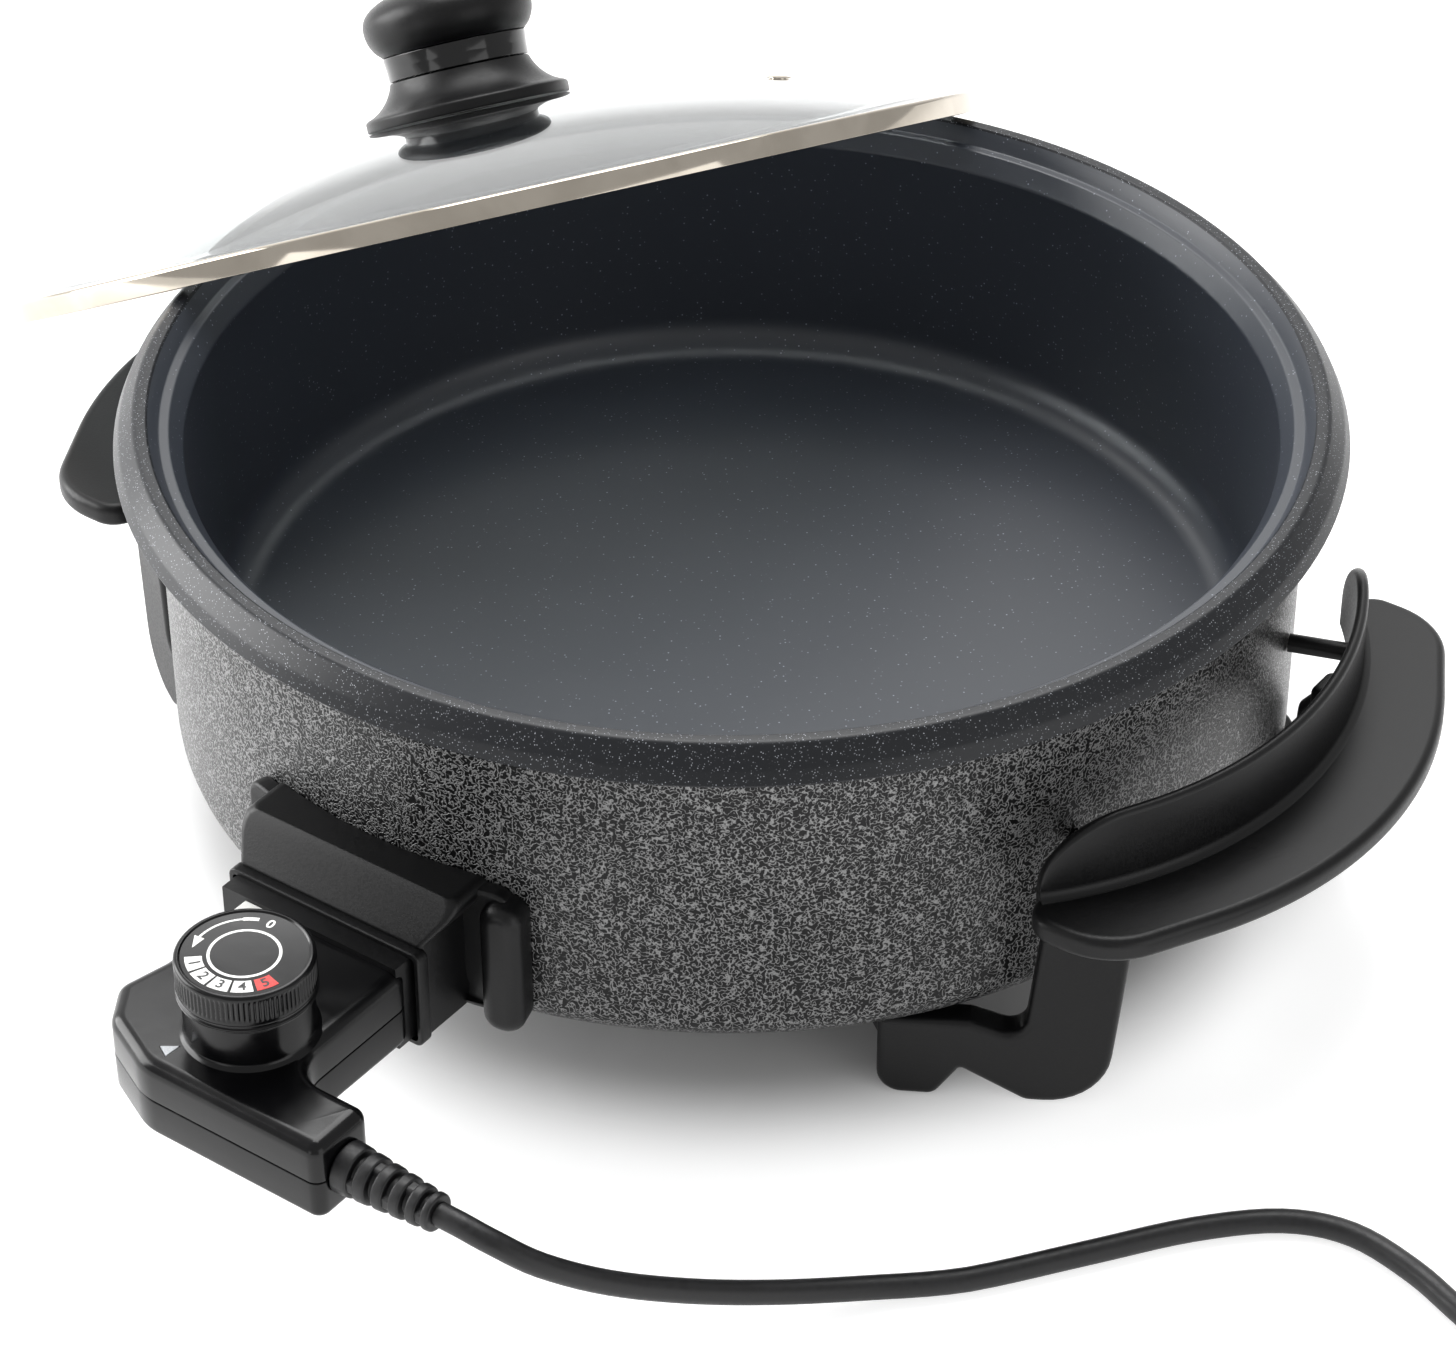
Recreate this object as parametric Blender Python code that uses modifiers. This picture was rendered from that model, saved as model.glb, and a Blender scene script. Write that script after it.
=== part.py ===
"""Electric frying pan with a loose glass lid and a plug-in thermostat.

Every piece is a separate closed solid. Units are metres and +Z is up. The model is laid out on the
pan's own axis with the table at z = 0: the thermostat plugs in on the -Y side and the grips lie
along X. The lid leans on the rim with its lower edge on the table, as it is set down while serving.
At the end the whole part is moved so that the middle of its footprint, without the cord, is the origin.
"""
import math

import bmesh
import bpy
from mathutils import Euler, Matrix, Vector

# Clearances
GAP = 0.0003
RUN = 0.0005
OVERRUN = 0.004

# Smoothness of turned and rounded shapes
TURN_STEPS = 48
KNOB_STEPS = 32
DIAL_STEPS = 36
SMALL_STEPS = 14
SCREW_STEPS = 10
CORNER_STEPS = 3

# Outer shell. Its radius carries through to all that is fitted to it.
SHELL_RADIUS = 0.1965
SHELL_WALL = 0.0015
SHELL_CORNER = 0.0120
SHELL_CLEARANCE = 0.0335

# Pan, from the shell's bottom up and from its radius outward and inward
FLOOR_AIR = 0.0215
PAN_FLOOR = 0.0050
PAN_WALL = 0.0040
CAVITY_DEPTH = 0.1000
CAVITY_TAPER = 0.0030
CAVITY_CORNER = 0.0140
RIM_RISE = 0.0115
SHELL_INSIDE = SHELL_CLEARANCE + SHELL_WALL
FLOOR_UNDERSIDE = SHELL_INSIDE + FLOOR_AIR
FLOOR_TOP = FLOOR_UNDERSIDE + PAN_FLOOR
CREST = FLOOR_TOP + CAVITY_DEPTH
LIP_HEIGHT = CREST - RIM_RISE
LIP_LAND = 0.0006
LIP_OVERHANG = 0.0135
LIP_RADIUS = SHELL_RADIUS + LIP_OVERHANG
FLANK_INSET = 0.0020
FLANK_RADIUS = LIP_RADIUS - FLANK_INSET
FLANK_RISE = 0.0050
CREST_INSET = 0.0075
CREST_WIDTH = 0.0040
CREST_OUTER = LIP_RADIUS - CREST_INSET
CREST_INNER = CREST_OUTER - CREST_WIDTH
CREST_ROUND = 0.0020
LEDGE_INSET = 0.0041
LEDGE_WIDTH = 0.0034
LEDGE_OUTER = CREST_INNER - LEDGE_INSET
LEDGE_INNER = LEDGE_OUTER - LEDGE_WIDTH
LEDGE_RISE = 0.0055
CAVITY_INSET = 0.0046
CAVITY_RADIUS = LEDGE_INNER - CAVITY_INSET
SHOULDER_DROP = 0.0010
BOSS_RADIUS = 0.0130

# Centre fastening
BOLT_RADIUS = 0.0030
BOLT_HEAD_RADIUS = 0.0058
BOLT_HEAD_HEIGHT = 0.0040
BOLT_REACH = 0.0140
WASHER_RADIUS = 0.0090
WASHER_THICKNESS = 0.0015

# Heating element and what serves it
ELEMENT_INSET = 0.0664
ELEMENT_RING = CAVITY_RADIUS - ELEMENT_INSET
ELEMENT_RADIUS = 0.0040
ELEMENT_HEIGHT = FLOOR_UNDERSIDE - GAP - ELEMENT_RADIUS
ELEMENT_BEND = 0.0120
TERMINAL_SPACING = 0.0280
TERMINAL_RADIUS = 0.0030
TERMINAL_REACH = 0.0060
PROBE_TUBE_WALL = 0.0008
PROBE_TUBE_RADIUS = 0.0040
PROBE_TUBE_LENGTH = 0.0750
CLAMP_PLATE_INSET = 0.0214
CLAMP_PLATE_RADIUS = CAVITY_RADIUS - CLAMP_PLATE_INSET
CLAMP_PLATE_THICKNESS = 0.0010
EARTH_BLADE_WIDTH = 0.0060
EARTH_BLADE_THICKNESS = 0.0010

# Plan sizes of the grips and their legs, as shares of the shell's radius
GRIP_REACH_SHARE = 1.333333
GRIP_ARC_SHARE = 0.839695
GRIP_SPAN_SHARE = 0.539440
GRIP_CORNER_SHARE = 0.096692
SHOULDER_SHARE = 1.231552
GUARD_REACH_SHARE = 1.165394
GUARD_ARC_SHARE = 0.763359
GUARD_SPAN_SHARE = 0.498728
LUG_SHARE = 0.335878
LEG_PLANE_SHARE = 0.885496
LEG_EDGE_SHARE = 0.744020
OUTER_FOOT_SHARE = 0.608651
INNER_FOOT_SHARE = 0.389313
TOE_SHARE = 0.333842

# Grips: a curved plate with an upright guard, and two legs each
GRIP_TOP = 0.0920
GRIP_THICKNESS = 0.0085
GRIP_REACH = SHELL_RADIUS * GRIP_REACH_SHARE
GRIP_ARC = SHELL_RADIUS * GRIP_ARC_SHARE
GRIP_HALF_SPAN = SHELL_RADIUS * GRIP_SPAN_SHARE
GRIP_CORNER = SHELL_RADIUS * GRIP_CORNER_SHARE
GRIP_END_CORNER = 0.0070
GRIP_SHOULDER_REACH = SHELL_RADIUS * SHOULDER_SHARE
GRIP_EDGE = 0.0030
GUARD_ARC = SHELL_RADIUS * GUARD_ARC_SHARE
GUARD_REACH = SHELL_RADIUS * GUARD_REACH_SHARE
GUARD_THICKNESS = 0.0040
GUARD_RISE = 0.0280
GUARD_TOP = GRIP_TOP + GUARD_RISE
GUARD_HALF_SPAN = SHELL_RADIUS * GUARD_SPAN_SHARE
GUARD_TOP_CORNER = 0.0240
LUG_OFFSET = SHELL_RADIUS * LUG_SHARE
LUG_WIDTH = 0.0160
LUG_HEIGHT = 0.0180
LEG_PLANE_ANGLE = 30.0
LEG_PLANE_DISTANCE = SHELL_RADIUS * LEG_PLANE_SHARE
LEG_THICKNESS = 0.0110
LEG_EDGE = 0.0022
LEG_OUTER_FOOT = SHELL_RADIUS * OUTER_FOOT_SHARE
LEG_INNER_FOOT = SHELL_RADIUS * INNER_FOOT_SHARE
FOOT_FLAT = 0.0090
FOOT_ROUND = 0.0120
LEG_OUTER_EDGE = SHELL_RADIUS * LEG_EDGE_SHARE
LEG_LEAN = 0.0030
LEG_WIDTH = 0.0300
ARM_DROP = 0.0030
ARM_TOP = SHELL_CLEARANCE - ARM_DROP
ARM_VALLEY = 0.0120
TOE_EDGE = SHELL_RADIUS * TOE_SHARE
SHOE_WIDTH = 0.0200
SHOE_HEIGHT = 0.0130
SHOE_REACH = 0.0300

# Small screws
SCREW_RADIUS = 0.0020
SCREW_HEAD_RADIUS = 0.0036
SCREW_HEAD_HEIGHT = 0.0022
SCREW_LENGTH = 0.0120
SCREW_END = 0.0020

# Thermostat, in its own frame: x = 0 on the socket's middle, y = 0 at the mouth, z = 0 at the split
CASE_HEIGHT = 0.0290
CASE_EDGE = 0.0028
CASE_WALL = 0.0020
NOSE_HALF_WIDTH = 0.0295
ARM_REACH = 0.0690
ARM_WIDTH = 0.0250
CASE_DEPTH = 0.0845
DIAL_X_SHARE = 0.508475
DIAL_Y_SHARE = 0.615385
DIAL_X = NOSE_HALF_WIDTH * DIAL_X_SHARE
DIAL_Y = -CASE_DEPTH * DIAL_Y_SHARE
DIAL_RADIUS = 0.0220
DIAL_HEIGHT = 0.0140
DIAL_EDGE = 0.0012
DIAL_GAP = 0.0006
COLLAR_INSET = 0.0012
COLLAR_RADIUS = DIAL_RADIUS - COLLAR_INSET
COLLAR_HEIGHT = 0.0150
SPINDLE_RADIUS = 0.0030
SPINDLE_FOOT = 0.0060
SPINDLE_ENGAGE = 0.0100
LENS_WIDTH = 0.0140
LENS_LENGTH = 0.0200
LENS_DEPTH = 0.0030
LENS_X_SHARE = 0.661017
LENS_Y_SHARE = 0.136095
LENS_X = -NOSE_HALF_WIDTH * LENS_X_SHARE
LENS_Y = -CASE_DEPTH * LENS_Y_SHARE
MARK_LENGTH = 0.0075
MARK_WIDTH = 0.0050
MARK_DEPTH = 0.0006
MARK_GAP = 0.0035
PROBE_RADIUS = 0.0028
PROBE_END_GAP = 0.0050
SLEEVE_WALL = 0.0005
SLEEVE_LENGTH = 0.0260
CARRIER_INSET = 0.0065
CARRIER_HALF_WIDTH = NOSE_HALF_WIDTH - CARRIER_INSET
CARRIER_DEPTH = 0.0240
CARRIER_COVER = 0.0060
SWITCH_WIDTH = 0.0200
SWITCH_LENGTH = 0.0180
BLADE_THICKNESS = 0.0006
BLADE_WIDTH = 0.0070
LAMP_RADIUS = 0.0030
LAMP_LENGTH = 0.0120
LEAD_RADIUS = 0.0011

# Socket guard on the shell, its mouth round the thermostat's nose
SOCKET_RISE = 0.0073
SOCKET_HEIGHT = ELEMENT_HEIGHT + SOCKET_RISE
MOUTH_DEPTH = 0.0265
MOUTH_REACH = SHELL_RADIUS + MOUTH_DEPTH
MOUTH_SIDE_PLAY = 0.0065
MOUTH_PLAY = 0.0020
MOUTH_HALF_WIDTH = NOSE_HALF_WIDTH + MOUTH_SIDE_PLAY
MOUTH_LOW = SOCKET_HEIGHT - CASE_HEIGHT / 2.0 - MOUTH_PLAY
MOUTH_HIGH = SOCKET_HEIGHT + CASE_HEIGHT / 2.0 + MOUTH_PLAY
MOUTH_LIP = 0.0030
MOUTH_LIP_DEPTH = 0.0050
HOOD_WALL = 0.0017
HOOD_SLOPE_FOOT = MOUTH_HIGH + MOUTH_LIP
HOOD_RISE = 0.0130
HOOD_LEDGE = HOOD_SLOPE_FOOT + HOOD_RISE
HOOD_LEDGE_DEPTH = 0.0120
HOOD_LEDGE_REACH = SHELL_RADIUS + HOOD_LEDGE_DEPTH
HOOD_BACK_WALL = 0.0058
HOOD_EDGE = 0.0012
FLANGE_THICKNESS = 0.0060
EAR_STANDOFF = 0.0145
EAR_OFFSET = MOUTH_HALF_WIDTH + EAR_STANDOFF
FLANGE_MARGIN = 0.0025
FLANGE_HALF_WIDTH = EAR_OFFSET + FLANGE_MARGIN
EAR_WIDTH = 0.0135
EAR_DEPTH = 0.0115
EAR_REACH = SHELL_RADIUS + EAR_DEPTH
EAR_LIFT = 0.0030
EAR_HEIGHT = 0.0510
EAR_TOP = SOCKET_HEIGHT + EAR_LIFT + EAR_HEIGHT / 2.0
EAR_FOOT = EAR_TOP - EAR_HEIGHT
EAR_EDGE = 0.0050
BLOCK_INSET = 0.0100
BLOCK_HALF_WIDTH = MOUTH_HALF_WIDTH - BLOCK_INSET
BLOCK_HEIGHT = 0.0170
BLOCK_THICKNESS = 0.0050

# Lid, in its own frame: the ring's lower edge is z = 0
LID_PLAY = 0.0040
LID_RING_RADIUS = CREST_INNER - LID_PLAY
LID_RING_HEIGHT = 0.0080
LID_RING_WALL = 0.0008
LID_RING_LIP = 0.0080
LID_GLASS = 0.0040
LID_GLASS_INSET = 0.0012
LID_RIM_WIDTH = 0.0080
LID_RISE = 0.0358
LID_DOME_STEPS = 6
LID_LEAN_REACH = 0.05320
LID_LEAN_AZIMUTH = 149.7
EYELET_SHARE = 0.614000
EYELET_OFFSET = LID_RING_RADIUS * EYELET_SHARE
EYELET_AZIMUTH = -118.0
EYELET_RADIUS = 0.0062
EYELET_BORE = 0.0022
EYELET_FLANGE = 0.0008
EYELET_SLEEVE = 0.0038

# Lid knob
KNOB_SKIRT_RADIUS = 0.0398
KNOB_SKIRT_HEIGHT = 0.0170
KNOB_NECK_RADIUS = 0.0278
KNOB_BAND_HEIGHT = 0.0095
KNOB_CAP_RADIUS = 0.0328
KNOB_CAP_HEIGHT = 0.0245
KNOB_HUB_RADIUS = 0.0110
KNOB_SKIRT_WALL = 0.0040
KNOB_SCREW_RADIUS = 0.0024
KNOB_SCREW_REACH = 0.0320
KNOB_SCREW_HEAD = 0.0045
KNOB_SCREW_HEAD_HEIGHT = 0.0030
SEAL_THICKNESS = 0.0015
SEAL_RADIUS = 0.0115

# Routes of the two leads inside the thermostat: in its body as shares of the nose's half width and the case's
# depth, then in its arm as shares of the arm's reach and the case's depth
LEAD_STEP = 0.0090
LIVE_BODY_SHARES = [(0.468, 0.22), (0.912, 0.41), (1.029, 0.64)]
LIVE_ARM_SHARES = [(0.61, 0.83), (0.87, 0.864), (0.962, 0.864)]
NEUTRAL_BODY_SHARES = [(-0.468, 0.26), (-0.538, 0.53), (-0.070, 0.82)]
NEUTRAL_ARM_SHARES = [(0.29, 0.905), (0.81, 0.905), (0.962, 0.905)]

# Cord and what is on it
CORD_RADIUS = 0.0040
BOOT_LENGTH = 0.0360
BOOT_ROOT_RADIUS = 0.0088
BOOT_TIP_RADIUS = 0.0062
BOOT_RIBS = 4
BOOT_GROOVE = 0.0016
CORD_STEP = 0.0180
COIL_MID_RADIUS = 0.0480
COIL_TURNS = 3.38
COIL_SPACING = 0.0087
COIL_POINTS_PER_TURN = 24
PLUG_FACE_RADIUS = 0.0185
PLUG_FACE_LENGTH = 0.0120
PLUG_GRIP_RADIUS = 0.0150
PLUG_LENGTH = 0.0420
PLUG_NECK_RADIUS = 0.0070
PLUG_PIN_RADIUS = 0.0024
PLUG_PIN_LENGTH = 0.0190
PLUG_PIN_SPACING = 0.0190
PLUG_HEIGHT = 0.0186

# Route of the free cord from the boot's tip: across, along, and the height over the table as a share of the
# tip's. The last point is where the coil begins.
CORD_REST = CORD_RADIUS + GAP / 3.0
CORD_ROUTE = [
    (0.0080, 0.0000, 1.000), (0.0184, 0.0025, 0.937), (0.0299, 0.0105, 0.774),
    (0.0424, 0.0270, 0.540), (0.0564, 0.0485, 0.314), (0.0719, 0.0710, 0.143),
    (0.0904, 0.0940, 0.038), (0.1134, 0.1180, 0.000), (0.1374, 0.1500, 0.000),
    (0.1584, 0.1780, 0.000), (0.1794, 0.1980, 0.000), (0.2004, 0.2055, 0.000),
    (0.2244, 0.2020, 0.000), (0.2464, 0.1940, 0.000), (0.2724, 0.1857, 0.000),
    (0.2994, 0.1770, 0.000),
]

MM = 0.001
WELD = 0.00001
MERGE = 0.00001


def clear_scene():
    """Remove every object, so that the script gives the same part in any file."""
    for old in list(bpy.data.objects):
        bpy.data.objects.remove(old, do_unlink=True)


def new_collection(name):
    group = bpy.data.collections.new(name)
    bpy.context.scene.collection.children.link(group)
    return group


def finish(name, colour, roughness, metallic=0.0):
    """A material for one sub-part, from its colour in linear red, green and blue."""
    mat = bpy.data.materials.new(name)
    mat.use_nodes = True
    shader = mat.node_tree.nodes["Principled BSDF"]
    shader.inputs["Base Color"].default_value = (*colour, 1.0)
    shader.inputs["Roughness"].default_value = roughness
    shader.inputs["Metallic"].default_value = metallic
    return mat


BLACK = (0.012, 0.012, 0.013)
GLOSS = (0.008, 0.008, 0.009)
SLATE = (0.025, 0.026, 0.030)
STEEL = (0.55, 0.54, 0.52)
BRASS = (0.60, 0.42, 0.17)
CERAMIC = (0.75, 0.72, 0.66)
RUBBER = (0.015, 0.015, 0.016)
GLASS = (0.80, 0.83, 0.83)
WHITE = (0.80, 0.80, 0.78)
CREAM = (0.55, 0.45, 0.30)


def dress(obj, colour, roughness, metallic=0.0):
    obj.data.materials.clear()
    obj.data.materials.append(finish(obj.name + "_finish", colour, roughness, metallic))
    return obj


def link(name, data, parent=None):
    obj = bpy.data.objects.new(name, data)
    PARTS.objects.link(obj)
    obj.parent = parent
    return obj


def settle(obj):
    """Turn an object's modifiers, or its curve, into one welded mesh with its faces outward."""
    bpy.context.view_layer.update()
    graph = bpy.context.evaluated_depsgraph_get()
    data = bpy.data.meshes.new_from_object(obj.evaluated_get(graph))
    work = bmesh.new()
    work.from_mesh(data)
    bmesh.ops.remove_doubles(work, verts=work.verts, dist=WELD)
    bmesh.ops.dissolve_degenerate(work, edges=work.edges, dist=WELD / 2)
    bmesh.ops.recalc_face_normals(work, faces=work.faces)
    work.to_mesh(data)
    work.free()
    name, parent, place = obj.name, obj.parent, obj.matrix_local.copy()
    bpy.data.objects.remove(obj, do_unlink=True)
    data.name = name
    solid = link(name, data, parent)
    solid.matrix_local = place
    return solid


def boolean(target, tool, operation):
    """Cut, join or trim target with tool, then drop the tool."""
    step = target.modifiers.new(operation.lower(), "BOOLEAN")
    step.operation = operation
    step.solver = "EXACT"
    step.object = tool
    result = settle(target)
    bpy.data.objects.remove(tool, do_unlink=True)
    return result


def cut(target, *tools):
    for tool in tools:
        target = boolean(target, tool, "DIFFERENCE")
    return target


def join(target, *tools):
    for tool in tools:
        target = boolean(target, tool, "UNION")
    return target


def round_edges(obj, width, segments=2, angle=40.0):
    step = obj.modifiers.new("edges", "BEVEL")
    step.width = width
    step.segments = segments
    step.limit_method = "ANGLE"
    step.angle_limit = math.radians(angle)
    return settle(obj)


def turned(name, profile, parent=None, steps=TURN_STEPS, closed=False):
    """Turn a profile of (radius, height) about Z. It runs down the outer side, top to bottom."""
    data = bpy.data.meshes.new(name)
    count = len(profile)
    edges = [(i, i + 1) for i in range(count - 1)]
    if closed:
        edges.append((count - 1, 0))
    data.from_pydata([(r, 0.0, z) for r, z in profile], edges, [])
    obj = link(name, data, parent)
    step = obj.modifiers.new("turn", "SCREW")
    step.axis = "Z"
    step.angle = 2.0 * math.pi
    step.steps = steps
    step.render_steps = steps
    step.use_merge_vertices = True
    step.merge_threshold = MERGE
    return settle(obj)


def disc(name, radius, low, high, parent=None, steps=SMALL_STEPS, bore=0.0, edge=0.0):
    """A turned disc, washer or rod between two heights, with an optional bore and small chamfers."""
    outer = [(radius, high), (radius, low)]
    if edge > 0.0:
        outer = [(radius - edge, high), (radius, high - edge), (radius, low + edge), (radius - edge, low)]
    if bore > 0.0:
        return turned(name, outer + [(bore, low), (bore, high)], parent, steps, closed=True)
    return turned(name, [(0.0, high)] + outer + [(0.0, low)], parent, steps)


def along(obj, start, direction):
    """Lay an object that was turned about Z so that its Z points along direction from start."""
    turn = Vector(direction).to_track_quat("Z", "Y").to_matrix().to_4x4()
    obj.matrix_local = Matrix.Translation(Vector(start)) @ turn
    return obj


def rod(name, radius, start, direction, length, parent=None, steps=SMALL_STEPS, bore=0.0, edge=0.0):
    return along(disc(name, radius, 0.0, length, parent, steps, bore, edge), start, direction)


def rounded(points, radii, steps=CORNER_STEPS, closed=True):
    """Replace each corner of an outline that has a radius by an arc of that radius."""
    count = len(points)
    result = []
    for i, point in enumerate(points):
        radius = radii[i]
        if radius <= 0.0 or (not closed and i in (0, count - 1)):
            result.append(tuple(point))
            continue
        here = Vector(point)
        before = (Vector(points[i - 1]) - here).normalized()
        after = (Vector(points[(i + 1) % count]) - here).normalized()
        half = before.angle(after) / 2.0
        reach = radius / math.tan(half)
        middle = here + (before + after).normalized() * (radius / math.sin(half))
        first = here + before * reach - middle
        last = here + after * reach - middle
        sweep = first.angle(last)
        for k in range(steps + 1):
            share = k / steps
            if sweep < 0.001:
                result.append(tuple(here))
                break
            a = math.sin((1.0 - share) * sweep) / math.sin(sweep)
            b = math.sin(share * sweep) / math.sin(sweep)
            result.append(tuple(middle + first * a + last * b))
    return result


def arc(centre, radius, start, stop, steps):
    """Points on an arc, from and to angles in degrees."""
    turn = (stop - start) / steps
    angles = [math.radians(start + turn * k) for k in range(steps + 1)]
    return [(centre[0] + radius * math.cos(a), centre[1] + radius * math.sin(a)) for a in angles]


def slab(name, outline, low, high, parent=None):
    """A flat outline in the XY plane, given thickness between two heights."""
    curve = bpy.data.curves.new(name, "CURVE")
    curve.dimensions = "2D"
    curve.fill_mode = "BOTH"
    curve.extrude = (high - low) / 2.0
    line = curve.splines.new("POLY")
    line.points.add(len(outline) - 1)
    for point, (x, y) in zip(line.points, outline):
        point.co = (x, y, 0.0, 1.0)
    line.use_cyclic_u = True
    solid = settle(link(name, curve, parent))
    solid.data.transform(Matrix.Translation((0.0, 0.0, (high + low) / 2.0)))
    return solid


def box(name, low, high, parent=None):
    """A box between two corners."""
    work = bmesh.new()
    bmesh.ops.create_cube(work, size=1.0)
    size = Vector(high) - Vector(low)
    bmesh.ops.scale(work, vec=size, verts=work.verts)
    bmesh.ops.translate(work, vec=(Vector(high) + Vector(low)) / 2.0, verts=work.verts)
    data = bpy.data.meshes.new(name)
    work.to_mesh(data)
    work.free()
    return link(name, data, parent)


def tube(name, points, radius, resolution, parent=None):
    """A round tube along a line of points, closed at both ends."""
    curve = bpy.data.curves.new(name, "CURVE")
    curve.dimensions = "3D"
    curve.bevel_depth = radius
    curve.bevel_resolution = resolution
    curve.use_fill_caps = True
    line = curve.splines.new("POLY")
    line.points.add(len(points) - 1)
    for point, place in zip(line.points, points):
        point.co = (*place, 1.0)
    return settle(link(name, curve, parent))


def smooth(obj, angle=35.0):
    obj.data.shade_smooth()
    obj.data.set_sharp_from_angle(angle=math.radians(angle))
    return obj


def shell_trim(name, clearance):
    """A cylinder that trims a piece to the shell's outside, its facets in line with the shell's."""
    return disc(name, SHELL_RADIUS + clearance, -LIP_HEIGHT, 2.0 * LIP_HEIGHT, None, TURN_STEPS)


TERMINALS = (-TERMINAL_SPACING / 2.0, TERMINAL_SPACING / 2.0)
SOCKET_BACK = SHELL_RADIUS + GAP + HOOD_BACK_WALL
BLOCK_FACE = SOCKET_BACK + GAP + BLOCK_THICKNESS
NOSE_FACE = MOUTH_REACH - BLOCK_FACE - GAP
TERMINAL_END = BLOCK_FACE + NOSE_FACE - TERMINAL_REACH


def inner_pan():
    """Cast pan: floor, tapering wall, lid ledge, rounded rim and a sharp outer lip."""
    bottom = CAVITY_RADIUS - CAVITY_TAPER
    ledge = LIP_HEIGHT + LEDGE_RISE
    outside_top = CAVITY_RADIUS + PAN_WALL
    outside_low = bottom + PAN_WALL
    under = LIP_HEIGHT - PAN_WALL
    inside = rounded([(0.0, FLOOR_TOP), (bottom, FLOOR_TOP), (CAVITY_RADIUS, LIP_HEIGHT - SHOULDER_DROP),
                      (LEDGE_INNER, ledge), (LEDGE_OUTER, ledge), (CREST_INNER, CREST), (CREST_OUTER, CREST),
                      (FLANK_RADIUS, LIP_HEIGHT + FLANK_RISE), (LIP_RADIUS, LIP_HEIGHT + LIP_LAND)],
                     [0.0, CAVITY_CORNER, 0.0, 0.0, 0.0, 0.0, CREST_ROUND, 0.0, 0.0], 3, closed=False)
    outside = rounded([(LIP_RADIUS, LIP_HEIGHT), (outside_top, LIP_HEIGHT), (outside_top, under),
                       (outside_low, FLOOR_UNDERSIDE), (0.0, FLOOR_UNDERSIDE)],
                      [0.0, 0.0, 0.0, CAVITY_CORNER + PAN_WALL / 2.0, 0.0], 3, closed=False)
    boss = disc("boss", BOSS_RADIUS, SHELL_INSIDE + GAP, FLOOR_UNDERSIDE + PAN_FLOOR / 2.0)
    pan = join(turned("inner_pan", inside + outside), boss)
    top = SHELL_INSIDE + BOLT_REACH + GAP
    bore = disc("bore", BOLT_RADIUS + GAP, SHELL_INSIDE - OVERRUN, top)
    return smooth(dress(cut(pan, bore), SLATE, 0.5))


def shell_bore(name, radius, x, height):
    """A cutter for a hole through the shell's front, along Y."""
    start = (x, -SHELL_RADIUS - OVERRUN, height)
    return rod(name, radius, start, (0.0, 1.0, 0.0), OVERRUN * 4.0, None, SCREW_STEPS)


def outer_shell():
    """Pressed outer shell, open at the top under the pan's lip."""
    top = LIP_HEIGHT - GAP
    inner = SHELL_RADIUS - SHELL_WALL
    profile = rounded([(0.0, SHELL_INSIDE), (inner, SHELL_INSIDE), (inner, top), (SHELL_RADIUS, top),
                       (SHELL_RADIUS, SHELL_CLEARANCE), (0.0, SHELL_CLEARANCE)],
                      [0.0, SHELL_CORNER - SHELL_WALL, 0.0, 0.0, SHELL_CORNER, 0.0], closed=False)
    shell = turned("outer_shell", profile)
    holes = [disc("bolt_hole", BOLT_RADIUS + GAP, SHELL_CLEARANCE - OVERRUN, SHELL_INSIDE + OVERRUN)]
    for x in TERMINALS:
        holes.append(shell_bore("terminal_hole", ELEMENT_RADIUS + RUN, x, ELEMENT_HEIGHT))
    holes.append(shell_bore("probe_hole", PROBE_TUBE_RADIUS + RUN, 0.0, ELEMENT_HEIGHT))
    for x, y in shoe_screws():
        holes.append(rod("shoe_hole", SCREW_RADIUS + GAP, (x, y, SHELL_CLEARANCE - OVERRUN), (0.0, 0.0, 1.0),
                         SHELL_WALL + OVERRUN * 2.0, None, SCREW_STEPS))
    for start, direction in lug_screws() + ear_screws():
        holes.append(rod("side_hole", SCREW_RADIUS + GAP, start - direction * OVERRUN, direction,
                         OVERRUN * 3.0, None, SCREW_STEPS))
    return smooth(dress(cut(shell, *holes), BLACK, 0.45, 0.3))


def heating_element():
    """Sheathed ring under the pan's floor, its two cold ends turned out towards the socket."""
    half = TERMINAL_SPACING / 2.0
    opening = math.degrees(math.asin((half + ELEMENT_BEND * 1.6) / ELEMENT_RING))
    ring = arc((0.0, 0.0), ELEMENT_RING, -90.0 + opening, 270.0 - opening, 32)
    turn_y = -math.sqrt(ELEMENT_RING ** 2 - half ** 2)
    end_y = -(SHELL_RADIUS - SHELL_WALL - ELEMENT_RADIUS)
    flat = [(half, end_y), (half, turn_y)] + ring + [(-half, turn_y), (-half, end_y)]
    radii = [0.0, ELEMENT_BEND] + [0.0] * len(ring) + [ELEMENT_BEND, 0.0]
    path = [(x, y, ELEMENT_HEIGHT) for x, y in rounded(flat, radii, 4, closed=False)]
    return smooth(dress(tube("heating_element", path, ELEMENT_RADIUS, 1), STEEL, 0.5, 0.9), 65.0)


def terminal_pins():
    """Cold pins of the heating element, through the shell, the guard and the ceramic block."""
    start = SHELL_RADIUS - SHELL_WALL - ELEMENT_RADIUS + GAP
    for side, x in zip(("left", "right"), TERMINALS):
        pin = rod("terminal_pin_" + side, TERMINAL_RADIUS, (x, -start, ELEMENT_HEIGHT), (0.0, -1.0, 0.0),
                  TERMINAL_END - start, edge=TERMINAL_RADIUS / 4.0)
        smooth(dress(pin, STEEL, 0.3, 1.0))


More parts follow.
